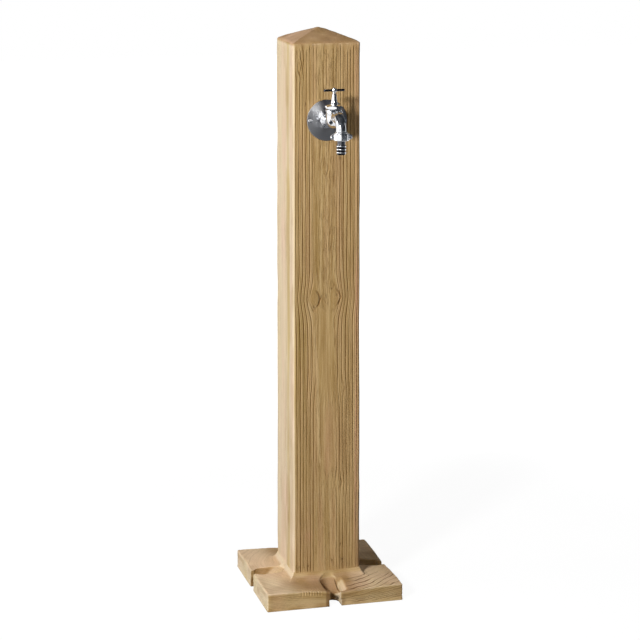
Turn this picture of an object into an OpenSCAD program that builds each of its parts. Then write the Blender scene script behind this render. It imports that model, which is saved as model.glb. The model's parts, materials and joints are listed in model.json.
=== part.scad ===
/* [Post] */
// Overall height from the ground to the point of the roof
post_h = 1000; // [950:10:1200]
// Width of the square shaft under its roof
shaft_top_w = 118; // [108:0.5:120]
// Width of the square shaft where it meets the base
shaft_foot_w = 122.5; // [116:0.5:123]
// Rise of the shallow roof above the shaft's shoulder
roof_rise = 20.4; // [12:0.2:40]
// Radius that rounds the roof's point
roof_point_r = 9; // [4:1:16]
// Radius of the shaft's upright corners
shaft_corner_r = 5; // [3:0.5:8]
// Radius of the cove where the shaft meets the base
cove_r = 13; // [8:1:16]

/* [Base plate] */
// Side of the square base plate
base_w = 246; // [236:1:280]
// Thickness of the base plate
base_t = 33; // [28:1:40]
// Radius of the base plate's upright corners
base_corner_r = 3.5; // [2:0.5:10]
// Width of the worn edge along the top of the base plate
base_edge = 2; // [1:0.5:5]
// Width of the open anchor slots
slot_w = 22; // [16:1:26]
// Length of the anchor slots, in from the edge of the base
slot_depth = 31; // [24:1:40]
// Thickness of stone left under the floor of each trough
ledge_h = 14; // [10:1:20]
// Width of the flared trough over each slot, at the top
trough_w = 35; // [32:1:46]
// Distance from the edge of the base to the far end of each trough
trough_depth = 61; // [56:1:61]
// Thickness of the rim between each trough and the edge of the base, at the top
trough_rim = 4; // [3:0.5:8]
// Width of the slot where it passes through the rim
mouth_w = 18; // [12:1:20]

/* [Supply] */
// Radius of the supply pipe
pipe_r = 7.5; // [6:0.5:9]
// Wall of the supply pipe
pipe_wall = 0.7; // [0.5:0.1:1.2]
// Clearance round the pipe in its channel
channel_gap = 1.5; // [1:0.5:3]
// Radius of the well under the base
well_r = 22; // [19:1:26]
// Height of the roof of the well above the ground
well_h = 58; // [57:1:90]
// Height of the inlet's mouth above the ground
inlet_mouth_h = 14; // [8:1:15]
// Radius of the threaded socket in the inlet adaptor
inlet_socket_r = 9.3155; // [9.3155]
// Length of the threaded socket in the inlet adaptor
inlet_socket_len = 14; // [10:1:15]
// Length of the web between the adaptor's socket and its pipe stop
inlet_web = 8; // [4:1:9]
// Size across the flats of the inlet adaptor
inlet_af = 27; // [26:0.5:30]
// Height of the adaptor's hexagon
inlet_hex_h = 18; // [12:1:19]

/* [Compression joints] */
// Radius of the threads on the compression joints
joint_thread_r = 10.5; // [10:0.1:11.5]
// Depth that the pipe enters a compression joint
joint_depth = 12; // [8:1:13]
// Size across the flats of a compression nut
joint_nut_af = 24; // [23.5:0.5:26]
// Height of a compression nut
joint_nut_h = 12; // [9:1:14]
// Thickness of the floor of a compression nut
joint_nut_floor = 3; // [2:0.5:4]
// Height of an olive
olive_h = 3; // [2:0.5:4]
// Greatest thickness of an olive
olive_t = 1.4; // [1:0.1:1.8]

/* [Elbow behind the tap] */
// Distance of the tap's inlet below the point of the roof
tap_drop = 152; // [120:1:300]
// Radius of the elbow's threaded socket
elbow_socket_r = 9.6; // [9.5:0.1:10]
// Depth of the elbow's threaded socket
elbow_socket_len = 14.5; // [12:0.5:18]
// Wall of the elbow's socket
elbow_wall = 3.4; // [2.5:0.1:4.5]
// Radius of the elbow's knuckle
elbow_knuckle_r = 14.2; // [14:0.1:16]
// Radius of the water passage in the elbow and adaptor
passage_r = 6.5; // [5:0.5:7]
// Distance of the elbow's centre behind its socket's mouth
elbow_setback = 21.5; // [20:0.5:26]
// Distance of the elbow's back plate behind its centre
elbow_back = 16.5; // [15.5:0.5:19]
// Length of the elbow's leg below its centre
elbow_leg = 22; // [20:1:24]
// Radius of the elbow's back plate
elbow_plate_r = 21; // [21:0.5:23]
// Thickness of the elbow's back plate
elbow_plate_t = 3.5; // [2.5:0.5:4]
// Clearance of the pocket round the elbow's plate
pocket_gap = 1; // [0.5:0.5:1.5]
// Distance of the socket's mouth behind the cover plate
elbow_inset = 1.7; // [1:0.1:4]

/* [Screws and plugs] */
// Distance of the elbow's screws from its centre
elbow_screw_x = 17.4; // [17.2:0.1:18]
// Radius of the shank of the elbow's screws
elbow_screw_r = 1.7; // [1.4:0.1:2]
// Radius of the head of the elbow's screws
elbow_screw_head_r = 3.1; // [2.6:0.1:3.2]
// Height of the head of the elbow's screws
elbow_screw_head_h = 2; // [1.4:0.1:2.4]
// Length of the elbow's screws under the head
elbow_screw_len = 24; // [18:1:40]
// Distance of the cover's screws from its centre
cover_screw_x = 29.3; // [28.8:0.1:30]
// Radius of the shank of the cover's screws
cover_screw_r = 1.9; // [1.5:0.1:2.2]
// Radius of the head of the cover's screws
cover_screw_head_r = 3.8; // [3.2:0.1:4]
// Length of the cover's screws
cover_screw_len = 28; // [20:1:40]
// Wall of the plugs round both kinds of screw
plug_wall = 1.1; // [0.8:0.1:1.2]
// Length of a plug beyond the tip of its screw
plug_spare = 2; // [1:0.5:4]

/* [Cover plate] */
// Radius of the round cover plate
cover_r = 35; // [34.5:0.5:42]
// Thickness of the cover plate
cover_t = 2; // [1.5:0.1:3]
// Radius of the hole in the cover plate
cover_hole_r = 11; // [10:0.1:11.5]
// Depth of the seat for the cover plate in the post's face
cover_seat = 0.2; // [0.2:0.1:1]

/* [Tap body] */
// Thickness of the sealing tape on the shank
tape_t = 0.2; // [0.1:0.05:0.3]
// Length of the sealing tape
tape_len = 11; // [8:0.5:12]
// Size across the flats of the collar against the cover plate
collar_af = 24; // [23:0.5:27]
// Thickness of the collar
collar_t = 7; // [4:0.5:9]
// Radius of the neck between collar and chamber
neck_r = 9.8; // [8.5:0.1:11]
// Distance of the valve's axis in front of the cover plate
valve_reach = 45.8; // [42:0.1:55]
// Radius of the chamber
chamber_r = 13.5; // [13.4:0.1:14.5]
// Swell of the bowl at the bottom of the chamber
bowl_swell = 0.2; // [0.1:0.1:0.6]
// Radius of the cavity that holds the valve
cavity_r = 10; // [9.5:0.1:10.2]
// Radius of the water passage from the inlet
inlet_bore_r = 5; // [4:0.1:5.4]
// Thickness of the deck that carries the seat
deck_t = 3; // [2:0.1:4]
// Height of the seat above its deck
seat_lip_h = 1.5; // [1:0.1:2]
// Width of the seat's lip
seat_lip_w = 2; // [1.2:0.1:2.4]
// Distance of the outlet's axis in front of the valve's axis
outlet_reach = 45; // [42:0.5:55]
// Outer radius of the spout
spout_r = 8.6; // [8:0.1:9.2]
// Radius of the water passage in the spout
spout_bore_r = 5.5; // [4.5:0.1:6]
// Radius of the spout's bend
spout_bend_r = 20; // [18:0.5:24]
// Length of the plain spout below its bend
spout_drop = 3.5; // [2:0.5:6]
// Radius of the thread on the nose
nose_r = 10.4; // [10:0.1:10.8]
// Length of the thread on the nose
nose_len = 6.5; // [6.4:0.1:10]

/* [Headwork] */
// Rise of the spindle for one turn
screw_pitch = 2; // [1.5:0.1:2.5]
// Turns from shut to fully open
screw_turns = 2.25; // [1:0.25:2.5]
// Thickness of the rubber washer
washer_t = 2.4; // [2:0.1:3]
// Radius of the rubber washer
washer_r = 6.8; // [6.5:0.1:7.4]
// Radius of the jumper's disc
jumper_r = 7.4; // [7:0.1:8.5]
// Thickness of the jumper's disc
jumper_t = 1.8; // [1.2:0.1:2.5]
// Radius of the jumper's upper stem
jumper_stem_r = 2.4; // [2:0.1:2.6]
// Length of the jumper's upper stem
jumper_stem_len = 6.2; // [4:0.1:7]
// Radius of the jumper's threaded stud
stud_r = 1.5; // [1:0.1:1.7]
// Size across the flats of the nut under the washer
washer_nut_af = 5.5; // [5:0.1:6.4]
// Height of the nut under the washer
washer_nut_h = 2.2; // [1.6:0.1:2.6]
// Length of the bonnet's screwed skirt
skirt_len = 5.7; // [5:0.1:9]
// Thickness of the gasket under the bonnet
bonnet_gasket_t = 0.5; // [0.5:0.1:1.5]
// Size across the flats of the bonnet
bonnet_af = 27; // [26.5:0.5:30]
// Height of the bonnet's hexagon
bonnet_hex_h = 5.5; // [5:0.1:9]
// Radius of the spindle's thread
spindle_thread_r = 5.5; // [5:0.1:6]
// Radius of the spindle's stem
stem_r = 2.6; // [2.5:0.1:2.7]
// Running clearance of the spindle
spindle_gap = 0.06; // [0.03:0.01:0.08]
// Radius of the bonnet's upper neck
gland_neck_r = 4.5; // [4.4:0.1:4.8]
// Height of the bonnet's upper neck
gland_neck_h = 8.6; // [8:0.1:9]
// Thickness of the web under the packing
packing_web = 2.8; // [2:0.1:3.5]
// Radius of the packing
packing_r = 3.7; // [3.5:0.1:3.8]
// Height of the packing
packing_h = 3.1; // [2:0.1:4]
// Height of the conical gland nut
gland_h = 18.6; // [16:0.1:22]
// Radius at the foot of the gland nut
gland_foot_r = 6.65; // [6.5:0.05:8]
// Radius at the top of the gland nut
gland_top_r = 3.4; // [3.3:0.1:4.5]

/* [Handle] */
// Length of the T-bar from tip to tip
tee_len = 36.5; // [34:0.5:60]
// Radius of the T-bar
tee_r = 2.2; // [1.8:0.1:2.6]
// Turn of the T-bar from the post's face when shut
tee_angle = 0; // [0:5:90]
// Radius of the handle's round hub
hub_r = 3.7; // [3.6:0.1:5]
// Height of the hub between its flats
hub_h = 6; // [5:0.1:6.4]
// Stem that shows between the gland nut and the hub
stem_show = 3; // [1:0.1:6]
// Size across the flats of the spindle's square
square_af = 3.3; // [3:0.1:3.5]
// Clearance between the square and the hub
square_gap = 0.05; // [0.02:0.01:0.1]
// Radius of the head of the handle's screw
cap_screw_head_r = 2.3; // [2:0.1:3]
// Height of the head of the handle's screw
cap_screw_head_h = 1.6; // [1:0.1:2.2]
// Radius of the shank of the handle's screw
cap_screw_r = 0.9; // [0.6:0.1:1.1]
// Length of the handle's screw inside the spindle
cap_screw_grip = 3.5; // [2:0.1:4]

/* [Hose union] */
// Height of the union nut
union_h = 12; // [11:0.1:15]
// Outer radius of the union nut's body
union_r = 12.8; // [12.4:0.1:14]
// Thickness of the union nut's inner lip
union_lip = 2.3; // [1.5:0.1:3]
// Overall span of the union nut's ears
ear_span = 37.6; // [35:0.1:44]
// Radius of an ear
ear_r = 4.4; // [3.5:0.1:5]
// Thickness of an ear
ear_t = 5; // [3:0.1:7]
// Running clearance of the union nut's thread
union_gap = 0.06; // [0.03:0.01:0.09]
// Gap between the nut's lip and the tail's flange
flange_gap = 0.1; // [0.05:0.05:0.3]
// Thickness of the rubber seal on top of the tail
tail_gasket_t = 1.6; // [1:0.1:2.5]
// Radius of the tail's flange
flange_r = 9.9; // [9.6:0.1:9.9]
// Thickness of the tail's flange
flange_t = 2; // [1.5:0.1:3]
// Radius of the water passage in the tail
tail_bore_r = 5.2; // [4:0.1:5.5]
// Radius of the tail between its barbs
tail_r = 6.9; // [6.5:0.1:7.2]
// Radius over the barbs
barb_r = 8.4; // [8:0.1:8.6]
// Number of barbs
barb_count = 3; // [2:1:4]
// Distance from one barb to the next
barb_pitch = 5.3; // [4:0.1:7]
// Length of the cylindrical land on top of each barb
barb_land = 1.2; // [0.8:0.1:1.6]
// Length of plain tail between the nut and the first barb
tail_plain = 7.6; // [4:0.1:12]
// Height of the web behind an ear, as a share of the ear
web_share = 0.9; // [0.7:0.05:0.95]
// Clearance of the nut's lip round the barbs
lip_gap = 0.3; // [0.2:0.1:0.4]

/* [Hidden] */

// Small overlap that lets a cut run clear through a face
cut = 1;
// Step that keeps the cove from meeting a flat face at a bare tangent
cove_lip = 0.3;
// Slope of the rim's inner wall, from the top of the base down to the ledge
rim_slope = 2;
// Space round the elbow's nut, and round the cover plate in its seat
nut_space = 0.6;
seat_space = 0.5;
// Space between a compression nut's floor and the pipe
floor_space = 0.1;
// Floor of the spout's passage above the deck
spout_step = 0.5;
// Gap between the jumper's disc and the spindle, and to the bonnet's skirt when open
swivel_gap = 0.3;
skirt_gap = 0.8;
// Roof of the hexagon over the spindle's thread, and room left there when open
thread_roof = 2;
thread_room = 0.7;
// Turn of the bonnet's hexagon, which sets its flats to the sides
bonnet_turn = 30;
// Gland nut: lift off the hexagon, room over the neck, and gap round its follower
gland_lift = 0.7;
neck_room = 0.2;
follower_gap = 0.05;
// Depth of the spindle's end below the top of the hub
square_sink = 1.5;
// Width of the chamber's rim left outside its gasket, and of the seal's bore outside the passage
rim_step = 0.5;
// Length of the jumper's stud beyond its nut
stud_spare = 0.4;
// Share of the handle screw's head that is left flat on top
cap_flat = 0.6;
// Barb: plain length above its land, and the end of its back
barb_back = 0.4;
barb_back_end = 0.2;
// Round faces
$fn = 64;
// Faces round a corner that is drawn as flats
corner_fn = 32;
// Finishes
stone = [0.80, 0.68, 0.50];
chrome = [0.78, 0.80, 0.82];
steel = [0.58, 0.59, 0.60];
brass = [0.80, 0.64, 0.30];
copper = [0.78, 0.45, 0.30];
rubber = [0.12, 0.12, 0.12];
nylon = [0.80, 0.80, 0.76];
fibre = [0.62, 0.25, 0.18];

// Shaft: its shoulder, the tap's height, and the distance of the front face from the axis there
shoulder_z = post_h - roof_rise;
tap_h = post_h - tap_drop;
face_y = shaft_top_w / 2
    + (shaft_foot_w - shaft_top_w) / 2 * (shoulder_z - tap_h) / (shoulder_z - base_t);

// Slots, measured outwards from the post's axis
edge_s = base_w / 2;
slot_r = slot_w / 2;
slot_end_s = edge_s - slot_depth + slot_r;
trough_r = trough_w / 2;
trough_end_s = edge_s - trough_depth + trough_r;
trough_mouth_s = edge_s - trough_rim - trough_r;
ledge_mouth_s = edge_s - trough_rim - rim_slope - slot_r;
past_edge_s = edge_s + slot_r + cut;

// Distances in front of the post's axis
cover_back_s = face_y - cover_seat;
cover_front_s = cover_back_s + cover_t;
socket_mouth_s = cover_back_s - elbow_inset;
elbow_s = socket_mouth_s - elbow_setback;
pocket_floor_s = elbow_s - elbow_back;
plate_front_s = pocket_floor_s + elbow_plate_t;
shank_end_s = socket_mouth_s - tape_len - cut;
elbow_plug_end_s = plate_front_s - elbow_screw_len - plug_spare;
cover_plug_end_s = cover_front_s - cover_screw_len - plug_spare;
valve_s = cover_front_s + valve_reach;
outlet_s = valve_s + outlet_reach;

// Elbow and its compression joint
elbow_socket_out_r = elbow_socket_r + elbow_wall;
leg_end_z = tap_h - elbow_leg;
elbow_nut_z = leg_end_z - olive_h - joint_nut_floor;
joint_nut_r = joint_nut_af / sqrt(3);
pocket_r = elbow_plate_r + pocket_gap;
nut_room = joint_nut_r + nut_space;
pipe_top_z = leg_end_z + joint_depth;
channel_r = pipe_r + channel_gap;

// Inlet adaptor and its compression joint
pipe_foot_z = inlet_mouth_h + inlet_socket_len + inlet_web;
adaptor_top_z = pipe_foot_z + joint_depth;
inlet_nut_z = adaptor_top_z + olive_h + joint_nut_floor - joint_nut_h;

// Heights in the tap
deck_z = tap_h + inlet_bore_r + deck_t;
seat_z = deck_z + seat_lip_h;
spout_z = deck_z + spout_bore_r + spout_step;
bowl_r = chamber_r + bowl_swell;
bowl_z = tap_h + chamber_r / 2;
valve_lift = screw_pitch * screw_turns;
jumper_z = seat_z + washer_t;
jumper_top_z = jumper_z + jumper_t;
spindle_z = jumper_top_z + swivel_gap;
skirt_z = jumper_top_z + valve_lift + skirt_gap;
chamber_top_z = skirt_z + skirt_len;
hex_z = chamber_top_z + bonnet_gasket_t;
hex_top_z = hex_z + bonnet_hex_h;
thread_top_z = hex_top_z - thread_roof;
spindle_thread_top_z = thread_top_z - valve_lift - thread_room;
packing_z = hex_top_z + packing_web;
packing_top_z = packing_z + packing_h;
gland_neck_top_z = hex_top_z + gland_neck_h;
gland_z = hex_top_z + gland_lift;
gland_top_z = gland_z + gland_h;
hub_z = gland_top_z + stem_show;
hub_top_z = hub_z + hub_h;
square_top_z = hub_top_z - square_sink;

// Heights in the outlet
bend_end_z = spout_z - spout_bend_r;
nose_top_z = bend_end_z - spout_drop;
nose_z = nose_top_z - nose_len;
flange_top_z = nose_z - tail_gasket_t;
flange_z = flange_top_z - flange_t;
lip_top_z = flange_z - flange_gap;
union_z = lip_top_z - union_lip;
barbs_top_z = union_z - tail_plain;
tail_end_z = barbs_top_z - barb_count * barb_pitch;

// A round bar that runs forwards, from one distance in front of the axis to another
module front_bar(r, from, to, z, x = 0) {
    translate([x, -from, z]) rotate([90, 0, 0]) cylinder(r = r, h = to - from);
}

// A ring with an upright axis
module ring(outer_r, inner_r, h) {
    difference() {
        cylinder(r = outer_r, h = h);
        translate([0, 0, -cut]) cylinder(r = inner_r, h = h + 2 * cut);
    }
}

// The four corners of a square
module at_corners(w) {
    for (x = [-w / 2, w / 2], y = [-w / 2, w / 2]) translate([x, y, 0]) children();
}

module base_plate() {
    flat_h = base_t - base_edge;
    inner_w = base_w - 2 * base_corner_r;
    translate([-base_w / 2, -inner_w / 2, 0]) cube([base_w, inner_w, flat_h]);
    translate([-inner_w / 2, -base_w / 2, 0]) cube([inner_w, base_w, flat_h]);
    at_corners(inner_w) cylinder(r = base_corner_r, h = flat_h);
    translate([0, 0, flat_h]) hull() at_corners(inner_w)
        cylinder(r1 = base_corner_r, r2 = max(base_corner_r - base_edge, cut), h = base_edge,
            $fn = corner_fn);
}

module cove() {
    reach = shaft_foot_w / 2 + cove_lip + cove_r;
    centre_z = base_t + cove_lip + cove_r;
    difference() {
        translate([-reach, -reach, base_t - cut]) cube([2 * reach, 2 * reach, centre_z - base_t + cut]);
        for (a = [0:90:270]) rotate(a) translate([reach, -base_w, centre_z])
            rotate([-90, 0, 0]) cylinder(r = cove_r, h = 2 * base_w);
    }
}

module shaft() {
    foot_z = base_t - cut;
    hull() {
        translate([0, 0, foot_z]) at_corners(shaft_foot_w - 2 * shaft_corner_r)
            cylinder(r = shaft_corner_r, h = cut, $fn = corner_fn);
        translate([0, 0, shoulder_z - cut]) at_corners(shaft_top_w - 2 * shaft_corner_r)
            cylinder(r = shaft_corner_r, h = cut, $fn = corner_fn);
        translate([0, 0, post_h - roof_point_r]) sphere(r = roof_point_r, $fn = corner_fn);
    }
}

// One anchor slot, cut outwards along +X, with the flared trough over it. The trough stops at
// the rim, and a narrower slot leads through the rim to the edge
module anchor_slot() {
    translate([slot_end_s, 0, -cut]) cylinder(r = slot_r, h = ledge_h + 2 * cut);
    translate([slot_end_s, -slot_r, -cut]) cube([past_edge_s - slot_end_s, slot_w, ledge_h + 2 * cut]);
    hull() {
        for (s = [slot_end_s, ledge_mouth_s]) translate([s, 0, ledge_h])
            cylinder(r = slot_r, h = cut, $fn = corner_fn);
        for (s = [trough_end_s, trough_mouth_s]) translate([s, 0, base_t])
            cylinder(r = trough_r, h = cove_r + 2 * cut, $fn = corner_fn);
    }
    translate([trough_mouth_s, -mouth_w / 2, ledge_h])
        cube([past_edge_s - trough_mouth_s, mouth_w, base_t - ledge_h + cut]);
}

module post_casting() color(stone) {
    difference() {
        union() {
            base_plate();
            cove();
            shaft();
        }
        for (a = [0:90:270]) rotate(a) anchor_slot();
        translate([0, -elbow_s, -cut]) cylinder(r = well_r, h = well_h + cut);
        translate([0, -elbow_s, well_h - cut]) cylinder(r = channel_r, h = elbow_nut_z - well_h);
        front_bar(pocket_r, pocket_floor_s, face_y + cut, tap_h);
        translate([-nut_room, -face_y - cut, elbow_nut_z - cut - nut_space])
            cube([2 * nut_room, face_y + cut - plate_front_s, tap_h - elbow_nut_z]);
        front_bar(cover_r + seat_space, cover_back_s, face_y + cut, tap_h);
        for (x = [-elbow_screw_x, elbow_screw_x])
            front_bar(elbow_screw_r + plug_wall, elbow_plug_end_s, pocket_floor_s + cut, tap_h, x);
        for (x = [-cover_screw_x, cover_screw_x])
            front_bar(cover_screw_r + plug_wall, cover_plug_end_s, cover_back_s + cut, tap_h, x);
    }
}

// Supply pipe, with the compression joint at each end
module supply_pipe() color(copper) {
    translate([0, -elbow_s, pipe_foot_z]) ring(pipe_r, pipe_r - pipe_wall, pipe_top_z - pipe_foot_z);
}

module olive() {
    rotate_extrude() polygon([
        [pipe_r, 0], [pipe_r + olive_t / 2, 0], [pipe_r + olive_t, olive_h / 2],
        [pipe_r + olive_t / 2, olive_h], [pipe_r, olive_h]
    ]);
}

// A compression nut, floor down
module joint_nut() {
    difference() {
        cylinder(r = joint_nut_r, h = joint_nut_h, $fn = 6);
        translate([0, 0, -cut]) cylinder(r = pipe_r + floor_space, h = joint_nut_h);
        translate([0, 0, joint_nut_floor]) cylinder(r = joint_thread_r, h = joint_nut_h);
    }
}

module inlet_adaptor() color(brass) {
    translate([0, -elbow_s, inlet_mouth_h]) difference() {
        union() {
            cylinder(r = inlet_af / sqrt(3), h = inlet_hex_h, $fn = 6);
            cylinder(r = joint_thread_r, h = adaptor_top_z - inlet_mouth_h);
        }
        translate([0, 0, -cut]) cylinder(r = inlet_socket_r, h = inlet_socket_len + cut);
        cylinder(r = passage_r, h = adaptor_top_z);
        translate([0, 0, pipe_foot_z - inlet_mouth_h]) cylinder(r = pipe_r, h = joint_depth + cut);
    }
}

module inlet_olive() color(brass) {
    translate([0, -elbow_s, adaptor_top_z]) olive();
}

module inlet_nut() color(brass) {
    translate([0, -elbow_s, inlet_nut_z + joint_nut_h]) mirror([0, 0, 1]) joint_nut();
}

// Wall-plate elbow in the pocket behind the cover plate
module tap_elbow() color(brass) {
    difference() {
        union() {
            front_bar(elbow_socket_out_r, pocket_floor_s, socket_mouth_s, tap_h);
            translate([0, -elbow_s, tap_h]) sphere(r = elbow_knuckle_r);
            translate([0, -elbow_s, leg_end_z]) cylinder(r = joint_thread_r, h = elbow_leg);
            front_bar(elbow_plate_r, pocket_floor_s, plate_front_s, tap_h);
        }
        front_bar(elbow_socket_r, socket_mouth_s - elbow_socket_len, socket_mouth_s + cut, tap_h);
        front_bar(passage_r, elbow_s, socket_mouth_s, tap_h);
        translate([0, -elbow_s, leg_end_z]) cylinder(r = passage_r, h = elbow_leg);
        translate([0, -elbow_s, leg_end_z - cut]) cylinder(r = pipe_r, h = joint_depth + cut);
        for (x = [-elbow_screw_x, elbow_screw_x])
            front_bar(elbow_screw_r, pocket_floor_s - cut, plate_front_s + cut, tap_h, x);
    }
}

module elbow_screws() color(steel) {
    for (x = [-elbow_screw_x, elbow_screw_x]) {
        front_bar(elbow_screw_r, plate_front_s - elbow_screw_len, plate_front_s + cut, tap_h, x);
        front_bar(elbow_screw_head_r, plate_front_s, plate_front_s + elbow_screw_head_h, tap_h, x);
    }
}

module elbow_plugs() color(nylon) {
    for (x = [-elbow_screw_x, elbow_screw_x]) difference() {
        front_bar(elbow_screw_r + plug_wall, elbow_plug_end_s, pocket_floor_s, tap_h, x);
        front_bar(elbow_screw_r, plate_front_s - elbow_screw_len, pocket_floor_s + cut, tap_h, x);
    }
}

module elbow_olive() color(brass) {
    translate([0, -elbow_s, leg_end_z - olive_h]) olive();
}

module elbow_nut() color(brass) {
    translate([0, -elbow_s, elbow_nut_z]) joint_nut();
}

// Cover plate on the face of the post
module cover_plate() color(steel) {
    difference() {
        front_bar(cover_r, cover_back_s, cover_front_s, tap_h);
        front_bar(cover_hole_r, cover_back_s - cut, cover_front_s + cut, tap_h);
        for (x = [-cover_screw_x, cover_screw_x]) cover_screw(x, cut);
    }
}

// One countersunk screw; spare lengthens its hole past both faces
module cover_screw(x, spare = 0) {
    front_bar(cover_screw_r, cover_front_s - cover_screw_len, cover_front_s, tap_h, x);
    translate([x, -cover_front_s, tap_h]) rotate([-90, 0, 0])
        cylinder(r1 = cover_screw_head_r, r2 = cover_screw_r, h = cover_screw_head_r - cover_screw_r);
    if (spare > 0) front_bar(cover_screw_head_r, cover_front_s, cover_front_s + spare, tap_h, x);
}

module cover_screws() color(steel) {
    for (x = [-cover_screw_x, cover_screw_x]) cover_screw(x);
}

module cover_plugs() color(nylon) {
    for (x = [-cover_screw_x, cover_screw_x]) difference() {
        front_bar(cover_screw_r + plug_wall, cover_plug_end_s, cover_back_s, tap_h, x);
        cover_screw(x, cut);
    }
}

// Tap body: shank, collar, neck, chamber, spout and nose
module tap_body() color(chrome) {
    difference() {
        union() {
            front_bar(elbow_socket_r - tape_t, shank_end_s, cover_front_s + cut, tap_h);
            translate([0, -cover_front_s, tap_h]) rotate([90, 0, 0])
                cylinder(r = collar_af / sqrt(3), h = collar_t, $fn = 6);
            front_bar(neck_r, cover_front_s, valve_s, tap_h);
            translate([0, -valve_s, bowl_z]) {
                sphere(r = bowl_r);
                cylinder(r = chamber_r, h = chamber_top_z - bowl_z);
            }
            spout(spout_r, valve_s);
            translate([0, -outlet_s, nose_z]) cylinder(r = nose_r, h = nose_len);
        }
        front_bar(inlet_bore_r, shank_end_s - cut, valve_s, tap_h);
        translate([0, -valve_s, tap_h]) cylinder(r = inlet_bore_r, h = seat_z - tap_h + cut);
        translate([0, -valve_s, deck_z])
            ring(cavity_r, inlet_bore_r + seat_lip_w, chamber_top_z - deck_z + cut);
        translate([0, -valve_s, seat_z]) cylinder(r = cavity_r, h = chamber_top_z - seat_z + cut);
        spout(spout_bore_r, valve_s + inlet_bore_r + seat_lip_w);
        translate([0, -outlet_s, nose_z - cut]) cylinder(r = spout_bore_r, h = nose_len + 2 * cut);
    }
}

// A bar of one radius along the spout's path, from a distance in front of the axis to the nose
module spout(r, from) {
    bend_s = outlet_s - spout_bend_r;
    front_bar(r, from, bend_s, spout_z);
    translate([0, -bend_s, bend_end_z]) rotate([90, 0, -90]) rotate_extrude(angle = 90)
        translate([spout_bend_r, 0]) circle(r = r);
    translate([0, -outlet_s, nose_top_z]) cylinder(r = r, h = spout_drop);
}

module thread_tape() color("white") {
    difference() {
        front_bar(elbow_socket_r, socket_mouth_s - tape_len, socket_mouth_s, tap_h);
        front_bar(elbow_socket_r - tape_t, socket_mouth_s - tape_len - cut, socket_mouth_s + cut, tap_h);
    }
}

// Headwork, from the chamber upwards
module bonnet_gasket() color(fibre) {
    translate([0, -valve_s, chamber_top_z]) ring(chamber_r - rim_step, cavity_r, bonnet_gasket_t);
}

module bonnet() color(chrome) {
    translate([0, -valve_s, 0]) difference() {
        union() {
            translate([0, 0, skirt_z]) cylinder(r = cavity_r, h = hex_z - skirt_z + cut);
            translate([0, 0, hex_z]) rotate(bonnet_turn)
                cylinder(r = bonnet_af / sqrt(3), h = bonnet_hex_h, $fn = 6);
            translate([0, 0, hex_z]) cylinder(r = gland_neck_r, h = gland_neck_top_z - hex_z);
        }
        translate([0, 0, skirt_z - cut])
            cylinder(r = spindle_thread_r + spindle_gap, h = thread_top_z - skirt_z + cut);
        translate([0, 0, skirt_z]) cylinder(r = stem_r + spindle_gap, h = gland_neck_top_z - skirt_z);
        translate([0, 0, packing_z]) cylinder(r = packing_r, h = gland_neck_h);
    }
}

module gland_packing() color(rubber) {
    translate([0, -valve_s, packing_z]) ring(packing_r, stem_r + spindle_gap, packing_h);
}

module gland_nut() color(chrome) {
    roof_z = gland_neck_top_z + neck_room;
    translate([0, -valve_s, 0]) difference() {
        translate([0, 0, gland_z]) cylinder(r1 = gland_foot_r, r2 = gland_top_r, h = gland_h);
        translate([0, 0, gland_z - cut]) cylinder(r = gland_neck_r, h = packing_top_z - gland_z + cut);
        translate([0, 0, packing_top_z])
            ring(gland_neck_r, packing_r - follower_gap, roof_z - packing_top_z);
        translate([0, 0, gland_z]) cylinder(r = stem_r + spindle_gap, h = gland_h + cut);
    }
}

// Valve that the spindle lifts off the seat
module jumper_valve() color(brass) {
    translate([0, -valve_s, 0]) {
        translate([0, 0, jumper_z]) cylinder(r = jumper_r, h = jumper_t);
        translate([0, 0, jumper_z]) cylinder(r = jumper_stem_r, h = jumper_t + jumper_stem_len);
        translate([0, 0, seat_z - washer_nut_h - stud_spare])
            cylinder(r = stud_r, h = washer_t + washer_nut_h + stud_spare + cut);
    }
}

module valve_washer() color(rubber) {
    translate([0, -valve_s, seat_z]) ring(washer_r, stud_r, washer_t);
}

module washer_nut() color(brass) {
    translate([0, -valve_s, seat_z - washer_nut_h]) difference() {
        cylinder(r = washer_nut_af / sqrt(3), h = washer_nut_h, $fn = 6);
        translate([0, 0, -cut]) cylinder(r = stud_r, h = washer_nut_h + 2 * cut);
    }
}

module spindle() color(chrome) {
    translate([0, -valve_s, 0]) difference() {
        union() {
            translate([0, 0, spindle_z])
                cylinder(r = spindle_thread_r, h = spindle_thread_top_z - spindle_z);
            translate([0, 0, spindle_z]) cylinder(r = stem_r, h = hub_z - spindle_z);
            rotate(-tee_angle) translate([-square_af / 2, -square_af / 2, hub_z - cut])
                cube([square_af, square_af, square_top_z - hub_z + cut]);
        }
        translate([0, 0, spindle_z - cut])
            cylinder(r = jumper_stem_r + spindle_gap, h = jumper_stem_len + cut);
        translate([0, 0, square_top_z - cap_screw_grip])
            cylinder(r = cap_screw_r, h = cap_screw_grip + cut);
    }
}

// Handle, parallel to the post's face at no angle, and turned right end forwards by more
module tee_handle() color(chrome) {
    hole = square_af + 2 * square_gap;
    bar_z = (hub_z + hub_top_z) / 2;
    translate([0, -valve_s, 0]) rotate(-tee_angle) difference() {
        union() {
            intersection() {
                translate([0, 0, bar_z]) sphere(r = hub_r);
                translate([-hub_r, -hub_r, hub_z]) cube([2 * hub_r, 2 * hub_r, hub_h]);
            }
            translate([-tee_len / 2, 0, bar_z]) rotate([0, 90, 0]) cylinder(r = tee_r, h = tee_len);
        }
        translate([-hole / 2, -hole / 2, hub_z - cut]) cube([hole, hole, hub_h + 2 * cut]);
    }
}

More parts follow.
